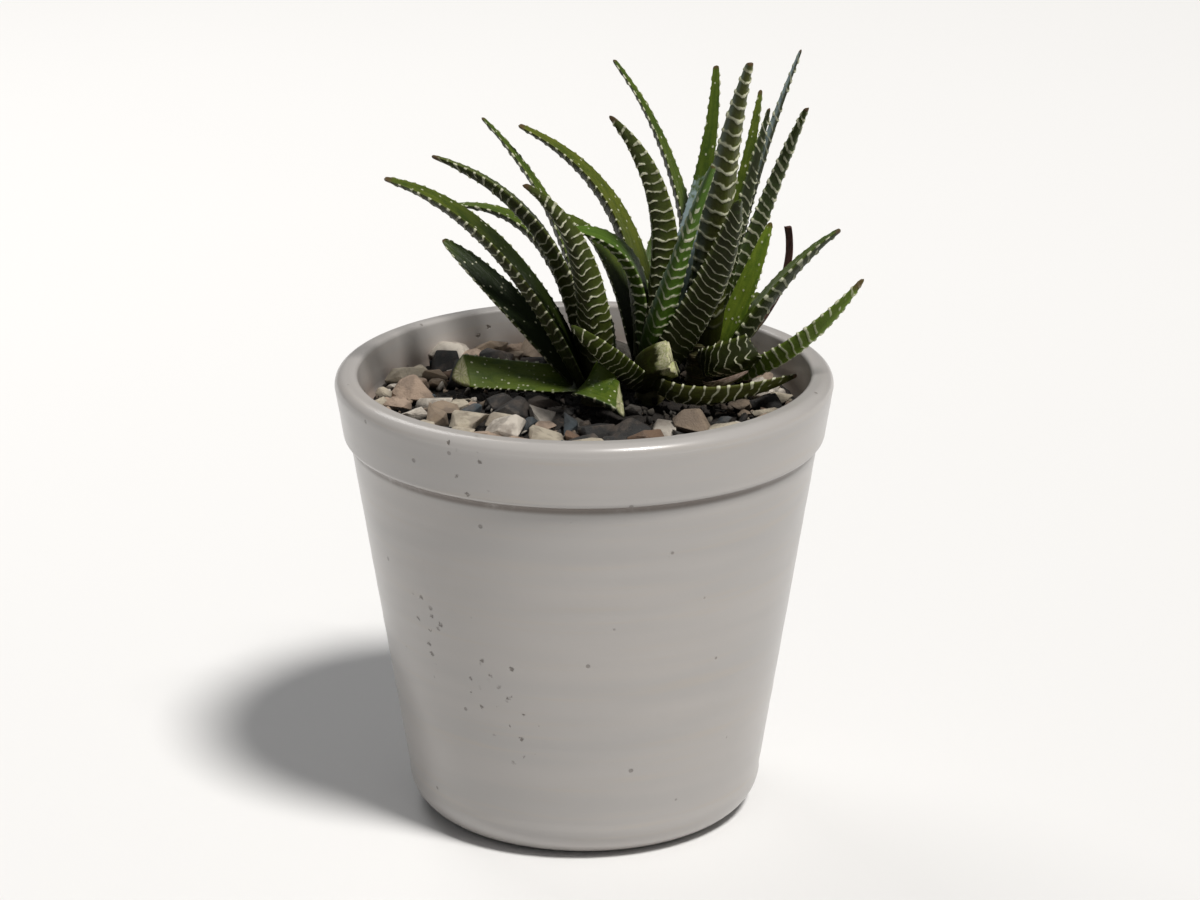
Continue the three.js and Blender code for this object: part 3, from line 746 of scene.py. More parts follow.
def glaze_material(settings):
    """An off-white glaze with throwing rings, grime and painted shade under the band, dark pits and a
    stained inside.
    """
    material, graph = shader_graph("Glaze")
    place = object_place(graph)
    height = place.part("Z")
    across = place.part("X")
    depth = place.part("Y")

    flat = graph.vector(across * 0.02, depth * 0.02, height * 0.55)
    rings = graph.noise(flat, 1.0, 3.0, 0.6)
    wide = graph.noise(graph.vector(across * 0.012, depth * 0.012, height * 0.09), 1.0, 2.0)
    mottle = graph.noise(place, 0.05, 4.0, 0.6)

    warm = tinted(settings.glaze, (1.04, 0.97, 0.86))
    cool = tinted(settings.glaze, (0.93, 0.94, 0.95))
    glaze = graph.mix(graph.smooth(wide, 0.35, 0.65), cool, tuple(settings.glaze))
    glaze = graph.mix(graph.smooth(rings, 0.5, 0.75) * 0.4, glaze, warm)
    glaze = graph.mix(graph.smooth(mottle, 0.55, 0.8) * 0.35, glaze, cool)

    # The dark line under the band: grime, and painted shade under the band's lip.
    under = graph.smooth(height, BAND_FOOT - 2.2, BAND_FOOT - 0.9)
    under = under * graph.smooth(height, BAND_FOOT + 0.8, BAND_FOOT + 0.2)
    under = under * graph.smooth(graph.noise(place, 0.12, 4.0, 0.7) + rings * 0.3, 0.2, 0.65)
    radius = (across * across + depth * depth) ** 0.5
    half_wall = radius - height * SIDE_SLOPE - (inner_radius(0) + POT["wall"] / 2)
    inside = graph.smooth(half_wall, 0.4, -0.4) * graph.smooth(height, 5.0, 6.0)
    dark_patch = inside * graph.smooth(height, BED["top"] + 7.0, BED["top"] - 2.0)
    dark_patch = dark_patch * graph.smooth(graph.noise(place, 0.07, 3.0), 0.3, 0.62)
    bare = graph.smooth(height, 0.25, 0.05)

    specks = pit_mask(graph, place, across, height, settings.pits)
    colour = graph.mix(under * 0.85, glaze, tuple(settings.dirt_and_shade))
    colour = graph.mix(dark_patch * 0.4, colour, COLOURS["water_stain"])
    colour = graph.mix(bare, colour, COLOURS["bare_clay"])
    colour = graph.mix(specks * 0.8, colour, COLOURS["pit"])

    relief = rings * 0.03 - specks * 0.12
    rough = 0.3 + graph.smooth(mottle, 0.4, 0.8) * 0.08 + inside * 0.12 + bare * 0.4
    surface(graph, {
        "Base Color": colour,
        "Roughness": rough,
        "Normal": bump(graph, relief),
        "Coat Weight": 0.25,
        "Coat Roughness": 0.12,
        "Specular IOR Level": 0.5,
    })
    return material


# Where the pits gather, at the front of the pot and again at its back: their place across, their
# height and their reach.
PIT_CLUSTERS = ((-21, 47, 11), (-37, 55, 9), (-14, 36, 9), (-27, 103, 8))


def pit_mask(graph, place, across, height, amount):
    """1 on the dark pits, which gather in a few clusters and lie far apart elsewhere."""
    crowd = 0.0
    for x, z, reach in PIT_CLUSTERS:
        away = ((across - x) ** 2 + ((height - z) * 0.6) ** 2) ** 0.5
        crowd = graph.smooth(away, reach, reach * 0.2) + crowd
    wobble = graph.noise(place, 1.3, 2.0, output="Color")
    shaken = place + (wobble - (0.5, 0.5, 0.5)) * 1.6
    cell = graph.cells(shaken, 0.42)
    chance = graph.cells(shaken, 0.42, output="Color").part("X")
    large = graph.smooth(cell, 0.32, 0.16) * graph.smooth(chance + crowd * 0.46, 1.0, 1.12)
    small_cell = graph.cells(place, 0.16)
    small_chance = graph.cells(place, 0.16, output="Color").part("Y")
    small = graph.smooth(small_cell, 0.11, 0.07) * graph.smooth(small_chance, 0.80, 0.84)
    return (large + small * 0.7) * (amount * 2)


def soil_material(settings):
    """Dark crumbly potting mix."""
    material, graph = shader_graph("Potting mix")
    place = object_place(graph)
    crumbs = graph.cells(place, 0.7)
    grain = graph.noise(place, 1.6, 5.0, 0.7)
    bark = graph.smooth(graph.noise(place, 0.4, 2.0), 0.62, 0.75)
    light = tuple(channel * 2.6 for channel in settings.soil)
    colour = graph.mix(graph.smooth(grain, 0.45, 0.75), tuple(settings.soil), light)
    colour = graph.mix(bark * 0.5, colour, COLOURS["bark"])
    surface(graph, {
        "Base Color": colour,
        "Roughness": 0.82 + grain * 0.15,
        "Normal": bump(graph, grain * 0.7 - crumbs * 0.5),
    })
    return material


def stone_material(settings):
    """Chips of many tints: cream, white, pink, tan, rust, slate and blue-grey, darkened by painted shade
    near the plant and at their feet.
    """
    material, graph = shader_graph("Stones")
    place = object_place(graph)
    stops = (
        (0.0, tuple(settings.pale)),
        (0.125, tinted(settings.pale, (1.22, 1.26, 1.4))),
        (0.275, tinted(settings.pale, (0.80, 0.68, 0.66))),
        (0.425, tinted(settings.pale, (0.6, 0.52, 0.48))),
        (0.575, tinted(settings.pale, (0.34, 0.24, 0.2))),
        (0.725, tuple(settings.slate)),
        (0.875, tinted(settings.slate, (2.2, 2.9, 3.4))),
    )
    kind = graph.add("ShaderNodeValToRGB", {"stops": stops}, {"Fac": kept_value(graph, "tint")})
    kind.socket.node.color_ramp.interpolation = "CONSTANT"
    grain = graph.noise(place, 2.2, 5.0, 0.75)
    veins = graph.noise(place + graph.noise(place, 0.4, 2.0, output="Color") * 3.0, 0.25, 4.0, 0.6)
    wash = graph.noise(place, 0.16, 3.0, 0.6)
    dark = graph.mix(0.6, kind, COLOURS["stone_vein"])
    colour = graph.mix(graph.smooth(veins, 0.48, 0.7) * 0.7, kind, dark)
    colour = graph.mix(graph.smooth(wash, 0.5, 0.66) * 0.5, colour, COLOURS["stone_wash"])
    colour = graph.mix(graph.smooth(grain, 0.58, 0.8) * 0.3, colour, COLOURS["stone_crystal"])
    colour = graph.mix(graph.smooth(grain, 0.42, 0.25) * 0.5, colour, COLOURS["stone_speck"])

    # Painted shade: the stones close to the plant are dark, and so is the foot of every stone.
    off_x = (place.part("X") - PLANT_SHADE["x"]) * PLANT_SHADE["squeeze"]
    off_y = place.part("Y") - PLANT_SHADE["y"]
    away = (off_x * off_x + off_y * off_y) ** 0.5
    dark_patch = graph.smooth(away + (wash - 0.5) * PLANT_SHADE["wander"], PLANT_SHADE["outer"], PLANT_SHADE["inner"])
    foot = graph.smooth(place.part("Z"), BED["top"] + 1.6, BED["top"] - 0.2)
    stone_shade = 1 - (1 - dark_patch * 0.9) * (1 - foot * 0.75)
    colour = graph.mix(stone_shade, colour, COLOURS["shaded_stone"])
    surface(graph, {
        "Base Color": colour,
        "Roughness": 0.62 + grain * 0.3,
        "Normal": bump(graph, grain * 0.5 + veins * 0.45),
    })
    return material


def stem_material():
    """A short fleshy stem with dry scars."""
    material, graph = shader_graph("Stem")
    place = object_place(graph)
    streak = graph.noise(place * (1.0, 1.0, 0.25), 0.9, 4.0, 0.7)
    scars = graph.smooth(graph.noise(place * (0.15, 0.15, 1.0), 0.7, 2.0), 0.5, 0.62)
    colour = graph.mix(streak, COLOURS["stem_green"], COLOURS["stem_brown"])
    colour = graph.mix(scars * 0.6, colour, COLOURS["stem_scar"])
    surface(graph, {
        "Base Color": colour,
        "Roughness": 0.6 + scars * 0.25,
        "Normal": bump(graph, streak * 0.3 + scars * 0.3),
    })
    return material


def floor_material(settings):
    """A plain pale floor."""
    material, graph = shader_graph("Floor")
    place = object_place(graph)
    tone = graph.noise(place, 0.004, 2.0)
    soft = tuple(channel * 0.985 for channel in settings.floor)
    surface(graph, {
        "Base Color": graph.mix(tone, tuple(settings.floor), soft),
        "Roughness": 0.85,
    })
    return material


# ---------------------------------------------------------------- the rule of the bands

BAND = {
    "half": 0.095,  # half the width of a band, of the spacing
    "soft": 0.045,  # how far its edge fades, of the spacing
    "wave": 0.35,  # how far it wanders over the leaf's width, of the spacing
    "kink": 0.3,  # how far it kinks within a short way, of the spacing
    "zigzag": 0.3,  # depth of its zigzag, of the spacing
    "zigzag_mm": 1.7,  # length of one leg of the zigzag
    "first": 0.04,  # share of the length where the bands start
    "ridge": 0.3,  # where the bands are brightest, from the keel at 0 to the lit edge at 1
    "lopsided": 0.45,  # how much less they climb on the lit side, and more on the shaded one
}


def band_field(graph, phase, lit, across_mm, over, share, seed, beads, thick):
    """How much of a raised band lies at a place of the skin: 0 between bands and 1 on a crest.

    phase counts the bands along the leaf, lit runs from -1 at the shaded edge to 1 at the lit
    edge, over is -1 on the keel and 1 in the middle of the upper face, beads is how far the
    bands break up, and thick is their width against the usual one.
    """
    number = graph.calculate("FLOOR", phase + 0.5)
    away = graph.calculate("ABSOLUTE", phase - number)
    bead = graph.noise(graph.vector(across_mm, number * 3.71, seed), 0.85, 1.0)
    mood = graph.noise(graph.vector(number * 1.37, seed, 0.0), 1.0, 0.0)
    edge = graph.calculate("ABSOLUTE", lit)
    rim = graph.smooth(edge, 0.84, 0.97) * graph.smooth(share, 0.08, 0.25)
    late = graph.smooth(share, 0.4, 0.9)

    # A band breaks up where its noise is low, and more so towards the tip, but not on the rim.
    loose = 0.28 + beads * (0.06 + late * 0.17) + late * 0.07
    whole = graph.smooth(bead, loose - 0.05, loose + 0.05)
    kept = graph.calculate("MAXIMUM", whole, rim * 0.7)

    # It is widest in its beads and on the rim, and brightest on the ridge.
    half = BAND["half"] * thick * (0.3 + bead * 1.0 + beads * late * 0.7 + rim * 0.5)
    crest = graph.smooth(away, half + BAND["soft"], half - BAND["soft"])
    from_ridge = graph.calculate("ABSOLUTE", lit - BAND["ridge"])
    bright = 0.42 + 0.58 * graph.smooth(from_ridge, 0.75, 0.15)
    bright = graph.calculate("MAXIMUM", bright, rim) * (0.62 + 0.75 * mood)
    start = graph.smooth(share, BAND["first"], BAND["first"] + 0.12)
    end = graph.smooth(share, 0.99, 0.96)
    back = graph.smooth(over, 0.2, 0.0)
    return crest * kept * bright * back * start * end


def dot_field(graph, across_mm, along_mm, over, share, seed, flecks):
    """The small pale dots of the upper face, more of them where flecks is high."""
    place = graph.vector(across_mm, along_mm * 0.8, seed)
    dot = graph.smooth(graph.cells(place, 0.8), 0.26, 0.16)
    chance = graph.cells(place, 0.8, output="Color").part("X")
    few = graph.smooth(chance + flecks * 0.4, 0.86, 0.92)
    return dot * few * graph.smooth(over, 0.05, 0.3) * graph.smooth(share, 0.1, 0.3)


# ---------------------------------------------------------------- leaves

LEAF_INPUTS = {
    "Root": "vector", "Bend": "vector", "Tip": "vector", "Inward": "vector", "Twist": "number",
    "Width": "number", "Taper": "number", "Cut": "number", "Skew": "number", "Ragged": "number",
    "Pitch": "number", "Height": "number", "Beads": "number", "Thick": "number",
    "Sweep": "number", "Bevel": "number", "Lit Side": "number", "Flecks": "number",
    "Seed": "number", "Ring Step": "number", "Around": "count", "Material": "material",
}


def leaf_profile(graph):
    """The keeled section of a leaf one unit to either side: X is over the line and Y across."""
    around = graph.given("Around")
    circle = graph.add("GeometryNodeCurvePrimitiveCircle", inputs={"Resolution": around},
                       output="Curve")
    turn = graph.add("GeometryNodeInputIndex") / around
    back_share = LEAF["back_share"]
    on_back = turn * (1 / back_share)
    on_face = (turn - back_share) * (1 / (1 - back_share))
    is_face = graph.calculate("GREATER_THAN", turn, back_share - 1e-4)
    swing = graph.blend(is_face, on_back, on_face)
    angle = swing * math.pi
    even = 0.6 * graph.calculate("COSINE", angle) + 0.4 * (1 - 2 * swing)
    across = even * (1 - 2 * is_face)
    over = graph.calculate("SINE", angle) * (2 * is_face - 1)

    edge = 2 * LEAF["thickness"] * LEAF["edge"]
    depth = 2 * LEAF["thickness"]
    reach = graph.calculate("ABSOLUTE", across)
    keel = edge - depth * (1 - reach ** LEAF["keel_round"]) ** LEAF["flank_round"]
    rounded = LEAF["crown"] * (1 - reach ** 4)
    height = graph.blend(is_face, keel, edge + rounded)
    circle = graph.store(circle, "across", across)
    circle = graph.store(circle, "over", over)
    circle = graph.store(circle, "lift", height)
    inputs = {"Geometry": circle, "Position": graph.vector(height, across, 0.0)}
    return graph.add("GeometryNodeSetPosition", inputs=inputs)


def leaf_line(graph):
    """The bent centre line of a leaf, with what its skin needs to know kept on its points."""
    inputs = {"Resolution": LEAF["line_steps"], "Start": graph.given("Root"),
              "Middle": graph.given("Bend"), "End": graph.given("Tip")}
    curve = graph.add("GeometryNodeCurveQuadraticBezier", inputs=inputs)
    inputs = {"Curve": curve, "Length": graph.given("Ring Step")}
    curve = graph.add("GeometryNodeResampleCurve", {"mode": "LENGTH"}, inputs)
    share = graph.add("GeometryNodeSplineParameter", output="Factor")
    length = graph.add("GeometryNodeCurveLength", inputs={"Curve": curve})
    along = graph.add("GeometryNodeInputTangent")
    inward = graph.given("Inward")
    face = graph.unit(inward - along * graph.dot(inward, along))
    settings = {"rotation_type": "AXIS_ANGLE"}
    inputs = {"Vector": face, "Axis": along, "Angle": graph.given("Twist")}
    face = graph.add("ShaderNodeVectorRotate", settings, inputs)

    cap = LEAF["tip_round"] * MM / length
    past = graph.ramp(share, 1 - cap, 1.0)
    root = graph.calculate("MINIMUM", 1.0, LEAF["root_width"]
                           + share * ((1 - LEAF["root_width"]) / LEAF["root_stretch"]))
    lost = (share ** graph.given("Taper")) * ((1 - graph.given("Cut")) * (1 - LEAF["tip_width"]))
    half = graph.given("Width") * 0.5 * root * (1 - lost)
    rounded = graph.calculate("MAXIMUM", 1 - past * past, 0.0) ** 0.5
    closing = graph.blend(graph.given("Cut"), rounded, 1 - past)
    curve = graph.store(curve, "share", share)
    curve = graph.store(curve, "past", past)
    curve = graph.store(curve, "half", half)
    curve = graph.store(curve, "closing", graph.calculate("MAXIMUM", closing, 0.02))
    curve = graph.store(curve, "along", along, "FLOAT_VECTOR")
    curve = graph.store(curve, "face", face, "FLOAT_VECTOR")
    curve = graph.store(curve, "along_mm", share * length * (1 / MM))
    inputs = {"Curve": curve, "Normal": face}
    return graph.add("GeometryNodeSetCurveNormal", {"mode": "FREE"}, inputs)


def leaf_tree():
    """A keeled section swept along a bent line, with raised bands, and a tip or a cut end."""
    graph = GeometryGraph("Ridged leaf", LEAF_INPUTS)
    curve = leaf_line(graph)
    profile = leaf_profile(graph)
    inputs = {"Curve": curve, "Profile Curve": profile, "Fill Caps": True,
              "Scale": graph.field("half") * graph.field("closing")}
    skin = graph.add("GeometryNodeCurveToMesh", inputs=inputs)

    share, across, over = graph.field("share"), graph.field("across"), graph.field("over")
    half, past, along_mm = graph.field("half"), graph.field("past"), graph.field("along_mm")
    along = graph.field("along", "FLOAT_VECTOR")
    face = graph.field("face", "FLOAT_VECTOR")
    cut, seed = graph.given("Cut"), graph.given("Seed")
    across_mm = across * half * (1 / MM)

    # The bands climb from the keel to both edges, steeper on the shaded side, and zigzag.
    lit = across * graph.given("Lit Side")
    reach = graph.calculate("ABSOLUTE", across)
    pitch_mm = graph.given("Pitch") * (1 / MM)
    wander = graph.noise(graph.vector(across_mm, along_mm * 0.3, seed), 0.22, 1.0) - 0.5
    kink = graph.noise(graph.vector(across_mm, along_mm * 0.5, seed + 9.0), 0.8, 1.0) - 0.5
    climb = graph.given("Sweep") * (1.0 - BAND["lopsided"] * lit) * (reach ** 1.25)
    drift = graph.noise(graph.vector(0.0, along_mm * 0.2, seed), 1.0, 0.0) * 3.0
    leg = BAND["zigzag_mm"]
    zigzag = graph.calculate("PINGPONG", across_mm + drift, leg) * (1 / leg) - 0.5
    legs = graph.calculate("MINIMUM", graph.given("Sweep") * 2, 1.0)
    phase = along_mm / pitch_mm - climb + zigzag * legs * BAND["zigzag"]
    phase = phase + wander * (2 * BAND["wave"]) + kink * (2 * BAND["kink"])
    skin = graph.store(skin, "phase", phase)
    skin = graph.store(skin, "lit", lit)
    skin = graph.store(skin, "across_mm", across_mm)
    skin = graph.store(skin, "seed", seed)
    skin = graph.store(skin, "cut_mask", graph.smooth(past, 0.02, 0.2) * cut)

    band = band_field(graph, graph.field("phase"), lit, across_mm, over, share, seed,
                      graph.given("Beads"), graph.given("Thick"))
    dots = dot_field(graph, across_mm, along_mm, over, share, seed, graph.given("Flecks"))
    lumps = graph.noise(graph.vector(across_mm, along_mm * 0.5, seed + 3.0), 0.35, 2.0) - 0.5
    raised = band * graph.given("Height") + dots * (LEAF["dot_height"] * MM)
    raised = (raised + lumps * (LEAF["lump_height"] * MM)) * (1 - past)
    hollow = 2 * LEAF["hollow"] * half * (1 - share) * (1 - across * across)
    sunk = hollow * graph.smooth(over, 0.0, 0.3) * (1 - past)

    # A cut end slants and folds into a flat cap; a torn one wanders.
    closing = graph.field("closing")
    back = cut * past * (LEAF["tip_round"] * MM)
    near_end = graph.smooth(share, 0.55, 0.93)
    bevel = graph.given("Bevel") * (graph.field("lift") * closing + LEAF["thickness"])
    slant = (graph.given("Skew") * across * closing + bevel) * half * near_end
    tear = graph.noise(graph.vector(across_mm * 1.4, over * 2.2, seed), 0.5, 3.0, 0.7) - 0.5
    torn = tear * 2 * graph.given("Ragged") * MM * near_end
    offset = graph.add("GeometryNodeInputNormal") * raised
    offset = offset - face * sunk - along * (back + slant + torn)
    skin = graph.add("GeometryNodeSetPosition", inputs={"Geometry": skin, "Offset": offset})
    inputs = {"Geometry": skin, "Shade Smooth": True}
    skin = graph.add("GeometryNodeSetShadeSmooth", {"domain": "FACE"}, inputs)
    return graph.end(skin, graph.given("Material"))


def leaf_points(row):
    """A leaf's root, control point and tip, and the way that its upper face looks."""
    stem = STEMS[row["stem"]]
    angle = math.radians(row["azimuth"])
    outward = Vector((math.cos(angle), math.sin(angle), 0))
    root = Vector((stem["x"], stem["y"], stem["level"] + row["rise"]))
    root += outward * LEAF["start_radius"]
    tip = Vector(row["tip"])
    bend = 2 * Vector(row["middle"]) - (root + tip) / 2
    return root, bend, tip, UP - outward


def line_places(row, steps):
    """Places along a leaf's centre line, from its root to its tip."""
    root, bend, tip, _ = leaf_points(row)
    shares = [i / steps for i in range(steps + 1)]
    return [root * (1 - t) ** 2 + bend * (2 * t * (1 - t)) + tip * t ** 2 for t in shares]


def leaf_length(row):
    """The length of a leaf's centre line, in short steps."""
    places = line_places(row, 24)
    return sum((b - a).length for a, b in zip(places, places[1:]))


# What a leaf's mesh keeps on its points for its skin.
LEAF_MARKS = ("across", "over", "share", "lit", "across_mm", "along_mm", "seed", "phase", "cut_mask")


def leaf_greens(settings, skin):
    """The greens of a leaf: its back, its upper face, the tones that vary them and its painted shades."""
    fresh, olive, dark = skin["fresh"], skin["olive"], 1 - 0.5 * skin["dark"]
    turn = (1 + 0.3 * olive - 0.12 * fresh, 1 + 0.3 * fresh + 0.05 * olive, 1 + 0.3 * fresh)
    back = tuple(channel * dark for channel in tinted(settings.back, turn))
    face = tuple(channel * dark for channel in tinted(settings.face, turn))
    return SimpleNamespace(
        back=back,
        face=face,
        # deep is for dark mottles, and also the painted shade on the back's shaded flank
        deep=tuple(channel * 0.35 for channel in back),
        # the painted shade at a leaf's root
        root=tuple(channel * 0.16 for channel in back),
        bright=tinted(face, (1.35, 1.28, 1.5)),
        mid=tinted(face, (0.55, 0.68, 0.7)),
        # the painted shade of the upper face
        gloom=tinted(face, (0.10, 0.14, 0.18)),
    )


def leaf_noises(graph, at):
    """The noises that vary a leaf's colours and its fine relief."""
    long_spots = graph.vector(at.across_mm, at.along_mm * 0.4, at.seed)
    spots = graph.vector(at.across_mm, at.along_mm, at.seed)
    lines = graph.vector(at.across_mm * 2.2, at.along_mm * 0.12, at.seed)
    return SimpleNamespace(
        mottle=graph.noise(long_spots, 0.35, 4.0, 0.65),
        patch=graph.noise(spots, 0.6, 3.0, 0.6),
        streaks=graph.noise(lines, 0.8, 3.0, 0.6),
        fine=graph.noise(spots, 3.0, 2.0),
    )


def back_colour(graph, skin, greens, at, vary):
    """The back of a leaf: dark green, with painted light towards its lit edge and painted shade towards the
    other.
    """
    towards_face = min(1.0, max(0.0, -skin["dark"]))
    colour = graph.mix(graph.smooth(vary.patch, 0.48, 0.7) * 0.8, greens.back, greens.mid)
    colour = graph.mix(graph.smooth(vary.mottle, 0.5, 0.3) * 0.8, colour, greens.deep)
    colour = graph.mix(towards_face, colour, greens.face)
    # Painted light: paler towards the lit edge. Then painted shade: darker towards the shaded edge.
    sunny = graph.smooth(at.lit, 0.15, 0.8) * graph.smooth(at.share, 0.12, 0.4)
    colour = graph.mix(sunny * (0.35 + 0.5 * vary.mottle), colour, greens.face)
    return graph.mix(graph.smooth(at.lit, 0.1, -0.5) * 0.5, colour, greens.deep)


def face_colour(graph, skin, greens, at, vary):
    """The upper face of a leaf: bright streaks, a darker groove and deep green painted shade near its root.
    """
    colour = graph.mix(graph.smooth(vary.streaks, 0.4, 0.7) * 0.6, greens.face, greens.bright)
    colour = graph.mix(graph.smooth(vary.mottle, 0.54, 0.36) * 0.85, colour, greens.mid)
    colour = graph.mix(graph.smooth(vary.patch, 0.55, 0.75) * 0.4, colour, greens.bright)
    groove = graph.smooth(graph.calculate("ABSOLUTE", at.across), 0.3, 0.0)
    colour = graph.mix(groove * 0.35, colour, greens.mid)
    # Painted shade: the face turns deep green from the root up to its skin's shade share.
    uneven_share = at.share + (vary.mottle - 0.5) * 0.12
    face_shade = graph.smooth(uneven_share, skin["shade"], skin["shade"] - 0.3)
    return graph.mix(face_shade * 0.9, colour, greens.gloom)


def sheen_share(graph, skin, at, vary):
    """How thick the painted bluish sheen lies: along one flank, or on the lower half of a silver leaf."""
    from_flank = 0.75 - 0.6 * skin["silver"]
    painted_sheen = graph.smooth(at.across, from_flank, from_flank + 0.45) * graph.smooth(at.over, 0.3, 0.0)
    if skin["silver"] == 1:
        painted_sheen = graph.smooth(at.share + (vary.patch - 0.5) * 0.3, 0.62, 0.5)
    thin = graph.smooth(vary.streaks + vary.patch * 0.4, 0.46, 0.66) * (skin["silver"] * 0.95)
    return painted_sheen * thin * graph.smooth(at.share, 0.1, 0.35)


def pith_share(graph, row, at, vary):
    """Where the pale pith shows: on the face of a cut, and some way down a torn end."""
    if row["end"] != "torn":
        return at.cut_mask
    open_end = graph.smooth(at.share + (vary.mottle - 0.5) * 0.6, 0.74, 0.86)
    return graph.calculate("MAXIMUM", at.cut_mask, open_end * 0.9)


def leaf_skin(settings, row):
    """The skin of one leaf: green, paler on its upper face, with cream bands and a dry tip."""
    skin = SKINS[row["skin"]]
    material, graph = shader_graph(row["name"])
    at = SimpleNamespace(**{name: kept_value(graph, name) for name in LEAF_MARKS})
    vary = leaf_noises(graph, at)
    greens = leaf_greens(settings, skin)

    back = back_colour(graph, skin, greens, at, vary)
    face = face_colour(graph, skin, greens, at, vary)
    colour = graph.mix(graph.smooth(at.over, -0.02, 0.14), back, face)
    margin = graph.smooth(graph.calculate("ABSOLUTE", at.across), 0.86, 1.0)
    margin = margin * graph.smooth(at.share, 0.15, 0.5)
    colour = graph.mix(margin * 0.45, colour, greens.bright)

    # The painted bluish sheen, and over it the bands and the dots, which it dims.
    band = band_field(graph, at.phase, at.lit, at.across_mm, at.over, at.share, at.seed,
                      skin["beads"], skin["thick"])
    dots = dot_field(graph, at.across_mm, at.along_mm, at.over, at.share, at.seed, skin["flecks"])
    painted_sheen = sheen_share(graph, skin, at, vary)
    sheen_tint = tuple(channel * (0.7 + 0.6 * skin["silver"]) for channel in COLOURS["painted_sheen"])
    colour = graph.mix(painted_sheen * (1 - band * 0.7), colour, sheen_tint)
    # The bands weaken under the sheen and towards the root, where that is partly painted shade.
    weight = graph.smooth(vary.mottle, 0.3, 0.62) * 0.35 + 0.65
    weight = weight * (1 - painted_sheen) * (1 - graph.smooth(at.share, 0.4, 0.05) * 0.5)
    shown = graph.calculate("MINIMUM", band * 1.15 + dots * 0.7, 1.0) * weight
    colour = graph.mix(shown, colour, tuple(settings.band))

    # The dark root, which is painted shade, the brown tip and the pith of a cut or torn end.
    colour = graph.mix(graph.smooth(at.share, 0.3, 0.04) * 0.85, colour, greens.root)
    if skin["tip"]:
        reach = skin["tip"] / leaf_length(row)
        uneven_share = at.share + (vary.mottle - 0.5) * reach
        tip = graph.smooth(uneven_share, 1 - reach * 1.5, 1 - reach * 0.5)
        colour = graph.mix(tip * 0.8, colour, COLOURS["brown_tip"])
    cut = pith_share(graph, row, at, vary)
    green_pith = graph.smooth(vary.fine, 0.35, 0.65)
    pith = graph.mix(green_pith, COLOURS["pale_pith"], COLOURS["green_pith"])
    colour = graph.mix(cut, colour, pith)
    surface(graph, {
        "Base Color": colour,
        "Roughness": 0.38 + band * 0.25 + vary.fine * 0.12 + cut * 0.3,
        "Normal": bump(graph, vary.fine * 0.06 + vary.streaks * 0.12),
        "Specular IOR Level": 0.22,
        "Subsurface Weight": 0.05,
        "Subsurface Radius": (0.35, 0.6, 0.15),
        "Subsurface Scale": 1.2 * MM,
    })
    return material


def dry_skin(row):
    """A dried leaf: papery pinkish grey, or thin and dark russet with a green foot."""
    material, graph = shader_graph(row["name"])
    names = ("across_mm", "along_mm", "share", "seed")
    across_mm, along_mm, share, seed = (kept_value(graph, name) for name in names)
    fibres = graph.noise(graph.vector(across_mm * 3.0, along_mm * 0.25, seed), 1.2, 4.0, 0.7)
    ribs = graph.smooth(fibres, 0.35, 0.7)
    if row["skin"] == "paper":
        colour = graph.mix(ribs, COLOURS["dark_paper"], COLOURS["pale_paper"])
    else:
        colour = graph.mix(ribs, COLOURS["dark_russet"], COLOURS["bright_russet"])
        colour = graph.mix(graph.smooth(share, 0.5, 0.2), colour, COLOURS["russet_foot"])
    surface(graph, {
        "Base Color": colour,
        "Roughness": 0.6 + fibres * 0.3,
        "Normal": bump(graph, fibres * 0.25),
    })
    return material


def make_leaf(tree, settings, row, number):
    """One leaf from the leaf tree, in place of its CAD node."""
    is_dry = row["skin"] in DRY_SKINS
    end = ENDS[row["end"]]
    skin = SKINS["green" if is_dry else row["skin"]]
    root, bend, tip, inward = leaf_points(row)
    leans_left = STEMS[row["stem"]]["x"] - row["tip"][0] > LEAF["lit_lean"]
    inputs = {
        "Root": root * MM, "Bend": bend * MM, "Tip": tip * MM, "Inward": inward,
        "Twist": math.radians(row["twist"]), "Width": row["width"] * MM,
        "Taper": TAPER[row["taper"]], "Cut": end["cut"], "Skew": end["skew"],
        "Ragged": end["ragged"], "Pitch": skin["pitch"] * MM / settings.crowding,
        "Height": 0.0 if is_dry else settings.height, "Beads": skin["beads"],
        "Thick": skin["thick"], "Sweep": skin["sweep"], "Bevel": end["bevel"],
        "Lit Side": 1.0 if leans_left else -1.0, "Flecks": skin["flecks"],
        "Seed": LEAF["first_seed"] + LEAF["seed_step"] * number,
        "Ring Step": settings.ring_step, "Around": settings.around,
        "Material": dry_skin(row) if is_dry else leaf_skin(settings, row),
    }
    name = row["name"]
    leaf = new_object(f"{name}_skin", bpy.data.meshes.new(name))
    run_tree(leaf, tree, inputs)
    settle(leaf, "dry_leaf" if is_dry else "leaf", name)


# ---------------------------------------------------------------- pot, bed, gravel and stems


def inner_radius(height):
    """The radius of the pot's inner wall at a height."""
    return POT["shoulder_radius"] - POT["wall"] + SIDE_SLOPE * (height - BAND_FOOT)


